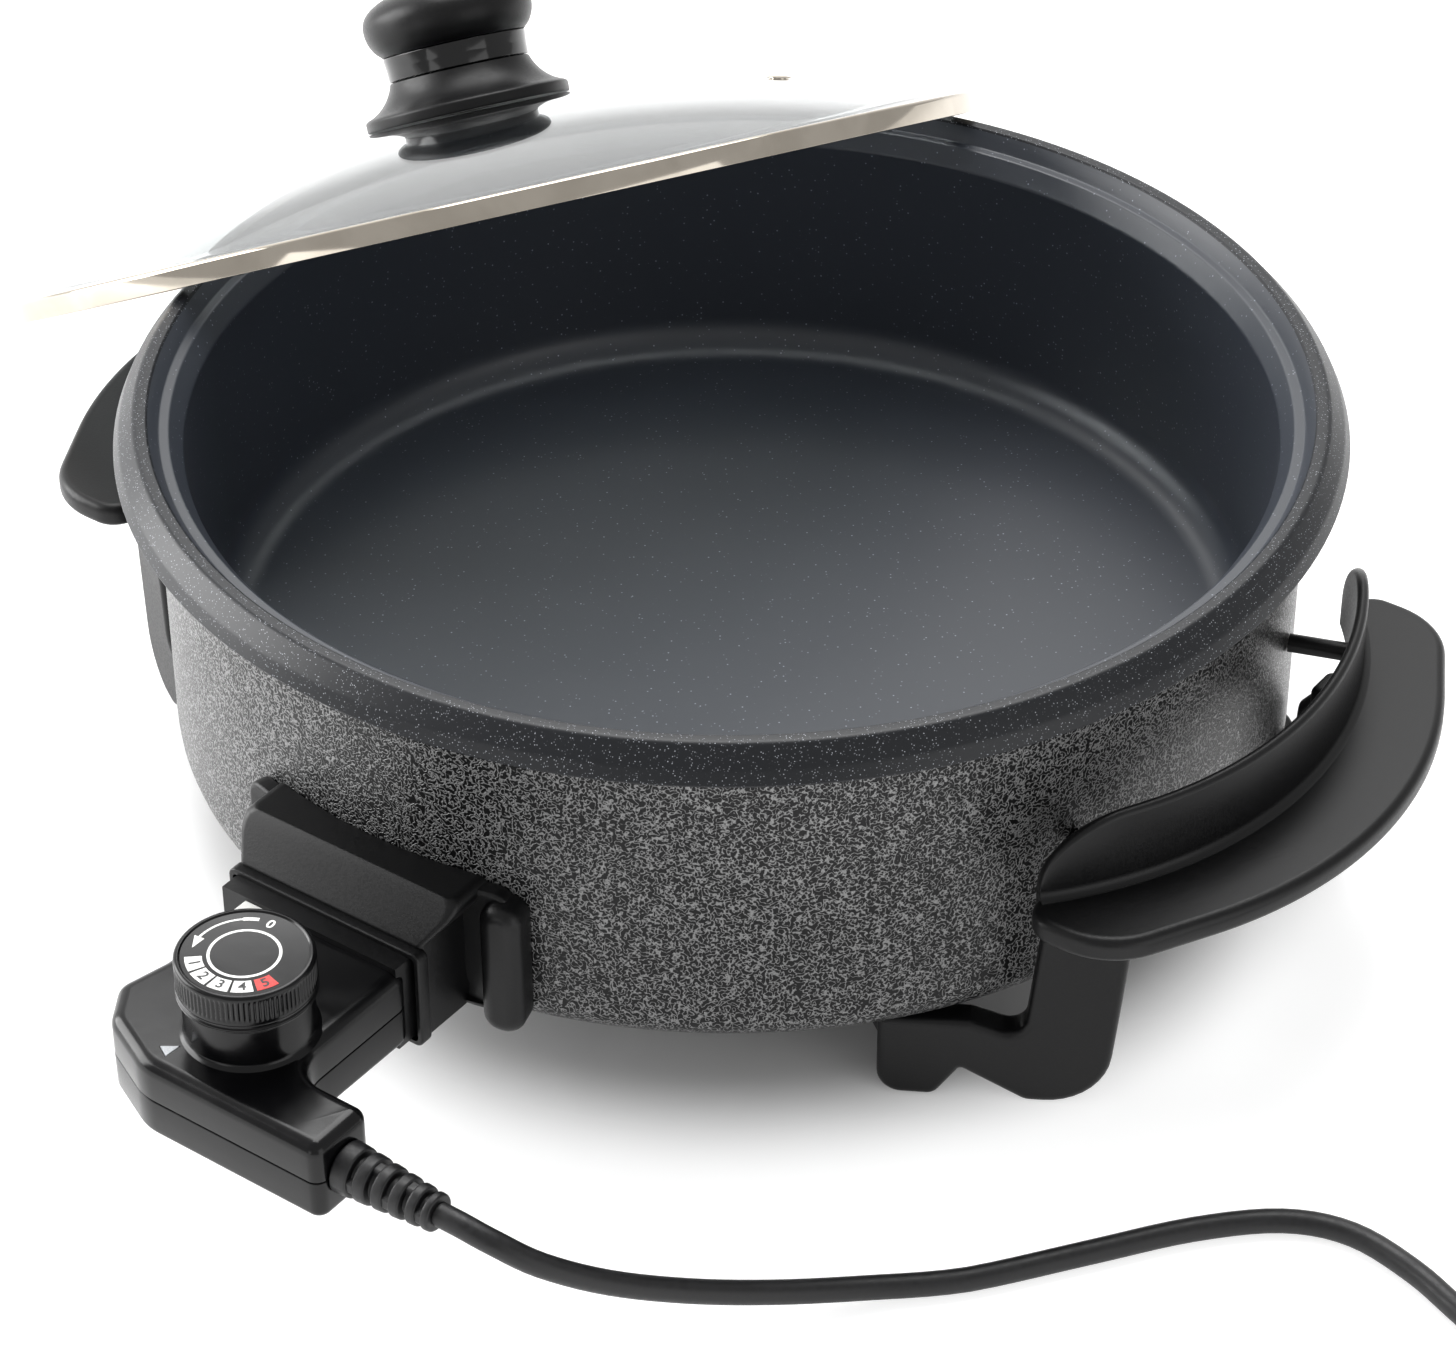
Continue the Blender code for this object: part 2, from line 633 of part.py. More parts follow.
def probe_tube():
    """Closed tube under the pan's floor that the thermostat's probe slides into."""
    start = SOCKET_BACK - HOOD_BACK_WALL / 2.0
    tube_in = PROBE_TUBE_RADIUS - PROBE_TUBE_WALL
    length = PROBE_TUBE_LENGTH
    profile = [(0.0, length), (PROBE_TUBE_RADIUS, length), (PROBE_TUBE_RADIUS, 0.0), (tube_in, 0.0),
               (tube_in, length - PROBE_TUBE_WALL * 2.0), (0.0, length - PROBE_TUBE_WALL * 2.0)]
    pipe = turned("probe_tube", profile, None, SMALL_STEPS)
    along(pipe, (0.0, -start, ELEMENT_HEIGHT), (0.0, 1.0, 0.0))
    return smooth(dress(pipe, STEEL, 0.35, 1.0))


def clamp_plate():
    """Thin plate that holds the element up against the pan's floor."""
    top = ELEMENT_HEIGHT - ELEMENT_RADIUS - GAP
    plate = disc("clamp_plate", CLAMP_PLATE_RADIUS, top - CLAMP_PLATE_THICKNESS, top, None, SMALL_STEPS * 2,
                 bore=BOSS_RADIUS + GAP * 2.0)
    return smooth(dress(plate, STEEL, 0.4, 1.0))


def centre_fastening():
    """Bolt and washer that draw the shell up to the pan's boss."""
    washer_top = SHELL_CLEARANCE - GAP
    washer_low = washer_top - WASHER_THICKNESS
    washer = disc("base_washer", WASHER_RADIUS, washer_low, washer_top, bore=BOLT_RADIUS + GAP)
    smooth(dress(washer, STEEL, 0.35, 1.0))
    head_top = washer_low - GAP
    head_low = head_top - BOLT_HEAD_HEIGHT
    end = SHELL_INSIDE + BOLT_REACH
    bolt = disc("base_bolt", BOLT_RADIUS, head_top - BOLT_RADIUS, end)
    head = disc("head", BOLT_HEAD_RADIUS, head_low, head_top, None, 6)
    smooth(dress(join(bolt, head), STEEL, 0.35, 1.0))


def guard_curve(radius, half_span, steps):
    """Points of an upright guard's face, from -Y to +Y, at the given radius of its own arc."""
    centre = GUARD_REACH - GUARD_ARC
    reach = math.degrees(math.asin(half_span / radius))
    return arc((centre, 0.0), radius, -reach, reach, steps)


def grip_outline():
    """Outline of a grip's plate, from its guard's inner face to its outer edge."""
    outer_centre = GRIP_REACH - GRIP_ARC
    half_outer = math.sqrt(GRIP_ARC ** 2 - (GRIP_SHOULDER_REACH - outer_centre) ** 2)
    sweep = math.degrees(math.asin(half_outer / GRIP_ARC))
    outer = arc((outer_centre, 0.0), GRIP_ARC, -sweep, sweep, 9)
    inner = guard_curve(GUARD_ARC - GUARD_THICKNESS / 2.0, GUARD_HALF_SPAN, 8)
    end_x = inner[0][0]
    corner_x = GRIP_SHOULDER_REACH - GRIP_CORNER / 2.0
    outline = [(end_x, -GRIP_HALF_SPAN), (corner_x, -GRIP_HALF_SPAN)] + outer
    outline += [(corner_x, GRIP_HALF_SPAN), (end_x, GRIP_HALF_SPAN)] + inner[::-1]
    radii = [GRIP_END_CORNER, GRIP_CORNER] + [0.0] * len(outer) + [GRIP_CORNER, GRIP_END_CORNER]
    return rounded(outline, radii + [0.0] * len(inner))


def upright_guard():
    """Heat guard that stands on a grip's inner edge, with rounded upper corners."""
    outer = guard_curve(GUARD_ARC, GUARD_HALF_SPAN, 10)
    inner = guard_curve(GUARD_ARC - GUARD_THICKNESS, GUARD_HALF_SPAN, 10)
    low = GRIP_TOP - GRIP_THICKNESS - GUARD_THICKNESS / 4.0
    band = slab("band", outer + inner[::-1], low, GUARD_TOP)
    wide = GUARD_HALF_SPAN + OVERRUN
    near = GUARD_HALF_SPAN + OVERRUN / 4.0
    face = rounded([(-wide, low - OVERRUN), (wide, low - OVERRUN), (near, GUARD_TOP), (-near, GUARD_TOP)],
                   [0.0, 0.0, GUARD_TOP_CORNER, GUARD_TOP_CORNER], 4)
    trim = slab("trim", face, 0.0, GRIP_REACH)
    trim.data.transform(Matrix(((0, 0, 1, 0), (1, 0, 0, 0), (0, 1, 0, 0), (0, 0, 0, 1))))
    band = boolean(band, trim, "INTERSECT")
    return band


def leg_frame(side):
    """Places a leg's own (u, height, depth) in the pan's frame. side is -1 at the front, 1 at the back."""
    angle = math.radians(LEG_PLANE_ANGLE)
    run = Vector((math.cos(angle), -side * math.sin(angle), 0.0))
    face = Vector((math.sin(angle), side * math.cos(angle), 0.0))
    frame = Matrix.Identity(4)
    for row in range(3):
        frame[row][0] = run[row]
        frame[row][1] = 1.0 if row == 2 else 0.0
        frame[row][2] = face[row]
    frame.translation = face * LEG_PLANE_DISTANCE
    return frame


def leg_outline():
    """A leg seen square on: an upright, an arm under the pan and two rounded toes."""
    top = GRIP_TOP - GRIP_THICKNESS / 2.0
    half = FOOT_FLAT / 2.0
    upright_in = LEG_OUTER_EDGE - LEG_WIDTH
    valley = (LEG_OUTER_FOOT + LEG_INNER_FOOT) / 2.0 - half / 2.0
    points = [(LEG_OUTER_EDGE + LEG_LEAN, top), (LEG_OUTER_EDGE, ARM_TOP), (LEG_OUTER_FOOT + half * 2.0, 0.0),
              (LEG_OUTER_FOOT - half, 0.0), (valley, ARM_VALLEY), (LEG_INNER_FOOT + half, 0.0),
              (TOE_EDGE, 0.0), (TOE_EDGE, ARM_TOP), (upright_in - LEG_LEAN, ARM_TOP),
              (upright_in + LEG_LEAN, top)]
    radii = [0.0, FOOT_ROUND * 1.3, FOOT_ROUND * 0.9, FOOT_ROUND / 2.0, LEG_EDGE, FOOT_ROUND / 2.0,
             FOOT_ROUND * 0.7, 0.0, LEG_EDGE * 2.0, 0.0]
    return rounded(points, radii)


def shoe_places():
    """Where each leg's shoe reaches in under the shell: inner toe and the direction to the pan's middle."""
    places = []
    for side in (-1.0, 1.0):
        toe = leg_frame(side) @ Vector((LEG_INNER_FOOT, 0.0, -LEG_THICKNESS / 2.0))
        toe.z = 0.0
        places.append((toe, -toe.normalized()))
    return places


def shoe_screws():
    """Screw places of all four shoes."""
    spots = []
    for toe, inward in shoe_places():
        spot = toe + inward * (SHOE_REACH - SHOE_WIDTH / 2.0)
        spots += [(spot.x, spot.y), (-spot.x, -spot.y)]
    return spots


def side_screw(offset, height, quarter):
    """Start and direction of a screw that points outward through the shell's side.

    The offset is taken along the shell from the middle of a quarter: 0 is +X, 1 is +Y and so on.
    """
    inside = (SHELL_RADIUS - SHELL_WALL) * math.cos(math.pi / TURN_STEPS)
    angle = math.asin(offset / inside) + quarter * math.pi / 2.0
    direction = Vector((math.cos(angle), math.sin(angle), 0.0))
    return direction * inside + Vector((0.0, 0.0, height)), direction


def lug_screws():
    """The four screws that hold the grips' lugs, from inside the shell."""
    offsets = (-LUG_OFFSET, LUG_OFFSET)
    return [side_screw(offset, GRIP_TOP, quarter) for quarter in (0, 2) for offset in offsets]


def ear_screws():
    """The two screws that hold the socket guard's ears."""
    return [side_screw(offset, (EAR_TOP + EAR_FOOT) / 2.0, 3) for offset in (-EAR_OFFSET, EAR_OFFSET)]


def grip_mesh():
    """One grip on the +X side with its guard, lugs, legs and shoes, as one moulding."""
    low = GRIP_TOP - GRIP_THICKNESS
    plate = round_edges(slab("plate", grip_outline(), low, GRIP_TOP), GRIP_EDGE, 2)
    pieces = [upright_guard()]
    for y in (-LUG_OFFSET, LUG_OFFSET):
        wall_x = GUARD_REACH - GUARD_ARC + math.sqrt((GUARD_ARC - GUARD_THICKNESS / 2.0) ** 2 - y ** 2)
        lug_low = GRIP_TOP - LUG_HEIGHT / 2.0
        lug = box("lug", (SHELL_RADIUS * 0.9, y - LUG_WIDTH / 2.0, lug_low),
                  (wall_x, y + LUG_WIDTH / 2.0, lug_low + LUG_HEIGHT))
        pieces.append(lug)
    for side, (toe, inward) in zip((-1.0, 1.0), shoe_places()):
        leg = slab("leg", leg_outline(), -LEG_THICKNESS, 0.0)
        leg.matrix_local = leg_frame(side)
        pieces.append(leg)
        top = SHELL_CLEARANCE - GAP
        shoe = box("shoe", (-SHOE_WIDTH / 2.0, 0.0, top - SHOE_HEIGHT), (SHOE_WIDTH / 2.0, SHOE_REACH, top))
        shoe.matrix_local = Matrix.Translation(toe) @ inward.to_track_quat("Y", "Z").to_matrix().to_4x4()
        pieces.append(shoe)
    grip = join(plate, *pieces)
    cuts = [shell_trim("trim", GAP)]
    keep = SHELL_CLEARANCE - GAP
    cuts[0].location.z = keep + LIP_HEIGHT
    grip = cut(grip, *cuts)
    up = (0.0, 0.0, 1.0)
    for x, y in shoe_screws():
        if x > 0.0:
            foot = (x, y, 0.0)
            grip = cut(grip, rod("hole", SCREW_RADIUS + GAP, foot, up, SHELL_CLEARANCE, None, SCREW_STEPS),
                       rod("sink", SCREW_HEAD_RADIUS + GAP, foot, up, shoe_seat(), None, SCREW_STEPS))
    for start, direction in lug_screws():
        if start.x > 0.0:
            reach = SCREW_LENGTH + GAP
            grip = cut(grip, rod("hole", SCREW_RADIUS + GAP, start, direction, reach, None, SCREW_STEPS))
    return grip


def shoe_seat():
    """Height of the face that a leg screw's head bears on."""
    return SHELL_CLEARANCE - GAP - SHOE_HEIGHT + SCREW_HEAD_HEIGHT


def grips():
    """Both grips share one mesh; the left one is turned half a turn about the pan's axis."""
    right = grip_mesh()
    right.name = "handle_right"
    smooth(dress(right, BLACK, 0.5))
    left = link("handle_left", right.data)
    left.rotation_euler = (0.0, 0.0, math.pi)


def screw(name, start, direction, length, parent=None):
    """A small screw whose head begins at start and whose shank runs along direction."""
    profile = [(0.0, length), (SCREW_RADIUS, length), (SCREW_RADIUS, SCREW_HEAD_HEIGHT),
               (SCREW_HEAD_RADIUS, SCREW_HEAD_HEIGHT), (SCREW_HEAD_RADIUS, 0.0), (0.0, 0.0)]
    piece = along(turned(name, profile, parent, SCREW_STEPS), start, direction)
    return smooth(dress(piece, STEEL, 0.35, 1.0))


def inside_screw(name, start, direction, length):
    """A screw whose head bears on the shell's inside at start."""
    return screw(name, start - direction * (SCREW_HEAD_HEIGHT + GAP * 2.0), direction, length)


def grip_screws():
    """Screws from inside the shell into the grips' lugs, and from below through the shoes into the shell."""
    for number, (start, direction) in enumerate(lug_screws(), 1):
        inside_screw("handle_screw_%d" % number, start, direction, SCREW_LENGTH)
    seat = shoe_seat() - SCREW_HEAD_HEIGHT - GAP
    for number, (x, y) in enumerate(shoe_screws(), 1):
        screw("leg_screw_%d" % number, (x, y, seat), (0.0, 0.0, 1.0), SHELL_INSIDE + SCREW_END - seat)


def socket_guard():
    """Moulded guard round the socket: sloping hood, mouth frame, curved flange and two ears."""
    hood_half = MOUTH_HALF_WIDTH + HOOD_WALL
    hood_low = MOUTH_LOW - HOOD_WALL
    side = [(SHELL_RADIUS * 0.9, hood_low), (MOUTH_REACH - OVERRUN / 4.0, hood_low),
            (MOUTH_REACH - OVERRUN, HOOD_SLOPE_FOOT), (HOOD_LEDGE_REACH, HOOD_LEDGE),
            (SHELL_RADIUS * 0.9, HOOD_LEDGE)]
    hood = slab("socket_guard", side, -hood_half, hood_half)
    hood.data.transform(Matrix(((0, 0, 1, 0), (-1, 0, 0, 0), (0, 1, 0, 0), (0, 0, 0, 1))))
    hood = round_edges(hood, HOOD_EDGE * 2.0, 1, 30.0)
    lip_half = MOUTH_HALF_WIDTH + MOUTH_LIP
    frame = box("frame", (-lip_half, -MOUTH_REACH, MOUTH_LOW - MOUTH_LIP),
                (lip_half, -MOUTH_REACH + MOUTH_LIP_DEPTH, MOUTH_HIGH + MOUTH_LIP))
    frame = round_edges(frame, HOOD_EDGE, 1)
    reach = SHELL_RADIUS + FLANGE_THICKNESS
    flange = disc("flange", reach, hood_low, HOOD_LEDGE, None, TURN_STEPS)
    window = box("window", (-FLANGE_HALF_WIDTH, -reach * 2.0, 0.0),
                 (FLANGE_HALF_WIDTH, -SHELL_RADIUS / 2.0, LIP_HEIGHT))
    flange = boolean(flange, window, "INTERSECT")
    pieces = [frame, flange]
    for x in (-EAR_OFFSET, EAR_OFFSET):
        ear = box("ear", (x - EAR_WIDTH / 2.0, -EAR_REACH + x * x / SHELL_RADIUS / 2.0, EAR_FOOT),
                  (x + EAR_WIDTH / 2.0, -SHELL_RADIUS * 0.9, EAR_TOP))
        pieces.append(round_edges(ear, EAR_EDGE, 1))
    guard = join(hood, *pieces)
    pocket = box("pocket", (-MOUTH_HALF_WIDTH, -MOUTH_REACH - OVERRUN, MOUTH_LOW),
                 (MOUTH_HALF_WIDTH, -SOCKET_BACK, MOUTH_HIGH))
    cuts = [shell_trim("trim", GAP), pocket]
    for x in TERMINALS:
        cuts.append(shell_bore("hole", TERMINAL_RADIUS + RUN, x, ELEMENT_HEIGHT))
        cuts[-1].location.y = -SOCKET_BACK - OVERRUN
    cuts.append(shell_bore("hole", PROBE_TUBE_RADIUS + RUN, 0.0, ELEMENT_HEIGHT))
    cuts[-1].location.y = -SOCKET_BACK - OVERRUN
    reach = SCREW_LENGTH * 0.8
    for start, direction in ear_screws():
        cuts.append(rod("hole", SCREW_RADIUS + GAP, start, direction, reach, None, SCREW_STEPS))
    smooth(dress(cut(guard, *cuts), BLACK, 0.45))
    for side, (start, direction) in zip(("left", "right"), ear_screws()):
        inside_screw("guard_screw_" + side, start, direction, reach)


def terminal_block():
    """Ceramic block at the back of the socket, round the pins and the probe's way in."""
    low = MOUTH_LOW + GAP
    block = box("terminal_block", (-BLOCK_HALF_WIDTH, -BLOCK_FACE, low),
                (BLOCK_HALF_WIDTH, -SOCKET_BACK - GAP, low + BLOCK_HEIGHT))
    cuts = []
    ways = ((TERMINALS[0], TERMINAL_RADIUS), (0.0, PROBE_RADIUS + GAP), (TERMINALS[1], TERMINAL_RADIUS))
    for x, radius in ways:
        cuts.append(rod("hole", radius + GAP, (x, -BLOCK_FACE - OVERRUN, ELEMENT_HEIGHT), (0.0, 1.0, 0.0),
                        BLOCK_THICKNESS + OVERRUN * 2.0))
    smooth(dress(cut(block, *cuts), CERAMIC, 0.6))
    top = low + BLOCK_HEIGHT + GAP
    blade = box("earth_blade", (-EARTH_BLADE_WIDTH / 2.0, -SOCKET_BACK - GAP - BLOCK_THICKNESS, top),
                (EARTH_BLADE_WIDTH / 2.0, -SOCKET_BACK - GAP, top + EARTH_BLADE_THICKNESS))
    smooth(dress(blade, BRASS, 0.35, 1.0))


def lid_dome(chord, rise):
    """Radius of a dome with the given half chord and rise."""
    return (chord ** 2 + rise ** 2) / (2.0 * rise)


GLASS_EDGE = LID_RING_RADIUS - LID_GLASS_INSET
DOME_CHORD = GLASS_EDGE - LID_RIM_WIDTH
GLASS_SEAT = LID_RING_HEIGHT - LID_RING_WALL - GAP - LID_GLASS
DOME_RADIUS = lid_dome(DOME_CHORD, LID_RISE)
DOME_CENTRE = GLASS_SEAT + LID_RISE - DOME_RADIUS
APEX_IN = GLASS_SEAT + LID_RISE
APEX_OUT = APEX_IN + LID_GLASS


def dome_height(radius, offset=0.0):
    """Height of the glass's lower face, or of one offset above it, at a distance from its middle."""
    return DOME_CENTRE + math.sqrt((DOME_RADIUS + offset) ** 2 - radius ** 2)


def lid_frame():
    """Empty at the middle of the ring's lower edge, placed by the two contacts that hold the lid.

    The ring's lowest point stands on the table, and the dome's lower face leans on the rim's outer crest,
    at LID_LEAN_REACH from the lid's middle. The tilt follows from both.
    """
    span = DOME_RADIUS - GAP * 3.0 - CREST_ROUND
    rise = DOME_CENTRE + math.sqrt(span ** 2 - LID_LEAN_REACH ** 2)
    reach = LID_RING_RADIUS + LID_LEAN_REACH
    tilt = math.asin((CREST - CREST_ROUND) / math.hypot(reach, rise)) - math.atan2(rise, reach)
    height = LID_RING_RADIUS * math.sin(tilt)
    middle_s = CREST_OUTER - CREST_ROUND + LID_LEAN_REACH * math.cos(tilt) - rise * math.sin(tilt)
    lean = math.radians(LID_LEAN_AZIMUTH)
    frame = bpy.data.objects.new("lid_frame", None)
    PARTS.objects.link(frame)
    frame.location = (middle_s * math.cos(lean), middle_s * math.sin(lean), height)
    frame.rotation_euler = Euler((0.0, tilt, lean))
    return frame


def lid_glass(frame):
    """Domed glass with a flat rim, drilled for the knob screw and the vent."""
    radii = [DOME_CHORD * (k / LID_DOME_STEPS) for k in range(LID_DOME_STEPS, 0, -1)]
    bore = KNOB_SCREW_RADIUS + RUN
    upper = [(r, dome_height(r, LID_GLASS)) for r in radii[::-1]]
    lower = [(r, dome_height(r)) for r in radii]
    rim_top = GLASS_SEAT + LID_GLASS
    rim = [(DOME_CHORD + LID_GLASS / 4.0, rim_top), (GLASS_EDGE, rim_top), (GLASS_EDGE, GLASS_SEAT)]
    profile = [(bore, APEX_OUT)] + upper[:-1] + rim + lower + [(bore, APEX_IN)]
    glass = turned("lid_glass", profile, frame, TURN_STEPS, closed=True)
    hole = disc("hole", EYELET_SLEEVE + GAP, -OVERRUN * 2.0, OVERRUN * 2.0, frame)
    hole.matrix_local = vent_place()
    return smooth(dress(cut(glass, hole), GLASS, 0.05))


def vent_place():
    """Place of the vent in the lid's frame: at the middle of the glass and square to it."""
    middle = DOME_RADIUS + LID_GLASS / 2.0
    tilt = math.asin(EYELET_OFFSET / middle)
    spot = Matrix.Translation((EYELET_OFFSET, 0.0, DOME_CENTRE + middle * math.cos(tilt)))
    turn = Matrix.Rotation(math.radians(EYELET_AZIMUTH), 4, "Z")
    return turn @ spot @ Matrix.Rotation(tilt, 4, "Y")


def lid_ring(frame):
    """Steel band that wraps the glass's edge and stands below it as a skirt."""
    inner = LID_RING_RADIUS - LID_RING_LIP
    wall = LID_RING_WALL
    seat = GLASS_SEAT - GAP
    profile = [(inner, LID_RING_HEIGHT), (LID_RING_RADIUS - wall / 2.0, LID_RING_HEIGHT),
               (LID_RING_RADIUS, LID_RING_HEIGHT - wall / 2.0), (LID_RING_RADIUS, 0.0),
               (LID_RING_RADIUS - wall, 0.0), (LID_RING_RADIUS - wall, seat - wall),
               (inner, seat - wall), (inner, seat), (LID_RING_RADIUS - wall, seat),
               (LID_RING_RADIUS - wall, LID_RING_HEIGHT - wall), (inner, LID_RING_HEIGHT - wall)]
    return smooth(dress(turned("lid_ring", profile, frame, TURN_STEPS, closed=True), STEEL, 0.15, 1.0))


def vent_eyelet(frame):
    """Steel grommet through the glass that lets steam out."""
    half = LID_GLASS / 2.0 + GAP
    flange = half + EYELET_FLANGE
    profile = [(EYELET_BORE, flange), (EYELET_RADIUS - EYELET_FLANGE, flange), (EYELET_RADIUS, half),
               (EYELET_SLEEVE, half), (EYELET_SLEEVE, -half), (EYELET_RADIUS * 0.8, -half),
               (EYELET_RADIUS * 0.8, -flange), (EYELET_BORE, -flange)]
    eyelet = turned("vent_eyelet", profile, frame, SMALL_STEPS, closed=True)
    eyelet.matrix_local = vent_place()
    return smooth(dress(eyelet, STEEL, 0.2, 1.0))


def knob(frame):
    """Lid knob: silicone seal, flared skirt, neck band and mushroom cap on one screw."""
    seal_low = APEX_OUT + GAP
    seal_top = seal_low + SEAL_THICKNESS
    bore = KNOB_SCREW_RADIUS + GAP
    seal = disc("knob_seal", SEAL_RADIUS, seal_low, seal_top, frame, bore=bore)
    smooth(dress(seal, RUBBER, 0.7))
    low = seal_top + GAP
    edge_z = dome_height(KNOB_SKIRT_RADIUS, LID_GLASS) + RUN
    skirt_top = edge_z + KNOB_SKIRT_HEIGHT
    ceiling = low + KNOB_SKIRT_WALL
    flare = KNOB_SKIRT_RADIUS - KNOB_NECK_RADIUS
    shares = [(0.00, 1.00), (0.06, 0.88), (0.25, 0.64), (0.50, 0.36), (0.80, 0.10)]
    sweep = [(KNOB_NECK_RADIUS - GAP + flare * out, edge_z + KNOB_SKIRT_HEIGHT * (1.0 - up))
             for up, out in ((s[0], 1.0 - s[1]) for s in shares)]
    wall = KNOB_SKIRT_RADIUS - KNOB_SKIRT_WALL
    underside = [(wall, edge_z), (SEAL_RADIUS, ceiling), (SEAL_RADIUS, low), (bore, low)]
    profile = [(bore, skirt_top)] + sweep + [(KNOB_SKIRT_RADIUS, edge_z + KNOB_SKIRT_WALL / 4.0),
                                             (KNOB_SKIRT_RADIUS, edge_z)] + underside
    smooth(dress(turned("knob_skirt", profile, frame, KNOB_STEPS, closed=True), BLACK, 0.5))
    band_low = skirt_top + GAP
    band_top = band_low + KNOB_BAND_HEIGHT
    band = disc("knob_band", KNOB_NECK_RADIUS, band_low, band_top, frame, KNOB_STEPS,
                bore=KNOB_HUB_RADIUS + GAP, edge=RUN)
    smooth(dress(band, GLOSS, 0.15))
    cap_low = band_top + GAP
    height = KNOB_CAP_HEIGHT
    bulge_shares = [(0.00, 1.00), (0.50, 0.96), (0.80, 0.82), (0.95, 0.64), (1.00, 0.44), (0.96, 0.24),
                    (0.86, 0.00)]
    outer = [(KNOB_CAP_RADIUS * out, cap_low + height * up) for out, up in bulge_shares]
    depth = low + KNOB_SCREW_REACH
    hub_low = skirt_top + GAP
    hub = [(KNOB_HUB_RADIUS, cap_low), (KNOB_HUB_RADIUS, hub_low), (bore, hub_low)]
    profile = outer + hub + [(bore, depth + GAP), (0.0, depth + GAP)]
    smooth(dress(turned("knob_cap", profile, frame, KNOB_STEPS), GLOSS, 0.25))
    washer_top = dome_height(WASHER_RADIUS) - GAP
    washer_low = washer_top - WASHER_THICKNESS
    washer = disc("knob_washer", WASHER_RADIUS, washer_low, washer_top, frame, bore=bore)
    smooth(dress(washer, STEEL, 0.3, 1.0))
    head_top = washer_low - GAP
    screw = disc("knob_screw", KNOB_SCREW_RADIUS, head_top - KNOB_SCREW_RADIUS / 2.0, depth, frame)
    head = disc("head", KNOB_SCREW_HEAD, head_top - KNOB_SCREW_HEAD_HEIGHT, head_top, frame, edge=RUN)
    smooth(dress(join(screw, head), STEEL, 0.3, 1.0))


def thermostat_frame():
    frame = bpy.data.objects.new("thermostat_frame", None)
    PARTS.objects.link(frame)
    frame.location = (0.0, -MOUTH_REACH, SOCKET_HEIGHT)
    return frame


def case_outline(inset=0.0):
    """The thermostat seen from above: nose, body with a rounded left end, and an arm to the right."""
    front = -CASE_DEPTH
    back = front + ARM_WIDTH
    left = -NOSE_HALF_WIDTH
    points = [(NOSE_HALF_WIDTH, NOSE_FACE), (left, NOSE_FACE), (left, front * 0.30),
              (left * 0.90, front * 0.49), (left * 1.08, front * 0.78), (left * 0.70, front * 0.91),
              (left * 0.05, front), (ARM_REACH, front), (ARM_REACH, back), (ARM_REACH * 0.66, back),
              (NOSE_HALF_WIDTH * 1.24, front * 0.43), (NOSE_HALF_WIDTH, front * 0.06)]
    corner = CASE_EDGE
    radii = [corner, corner, 0.0, ARM_WIDTH * 0.5, corner * 1.6, ARM_WIDTH * 0.45, ARM_WIDTH * 0.7,
             corner, corner, ARM_WIDTH * 0.5, ARM_WIDTH * 0.3, 0.0]
    line = rounded(points, radii, 2 if inset > 0.0 else CORNER_STEPS)
    if inset <= 0.0:
        return line
    inner = []
    count = len(line)
    for i in range(count):
        here = Vector(line[i])
        run = (Vector(line[(i + 1) % count]) - Vector(line[i - 1])).normalized()
        inner.append(tuple(here + Vector((-run.y, run.x)) * inset))
    return inner


DIAL_BASE = CASE_HEIGHT / 2.0 + COLLAR_HEIGHT + DIAL_GAP
PIN_DROP = ELEMENT_HEIGHT - SOCKET_HEIGHT


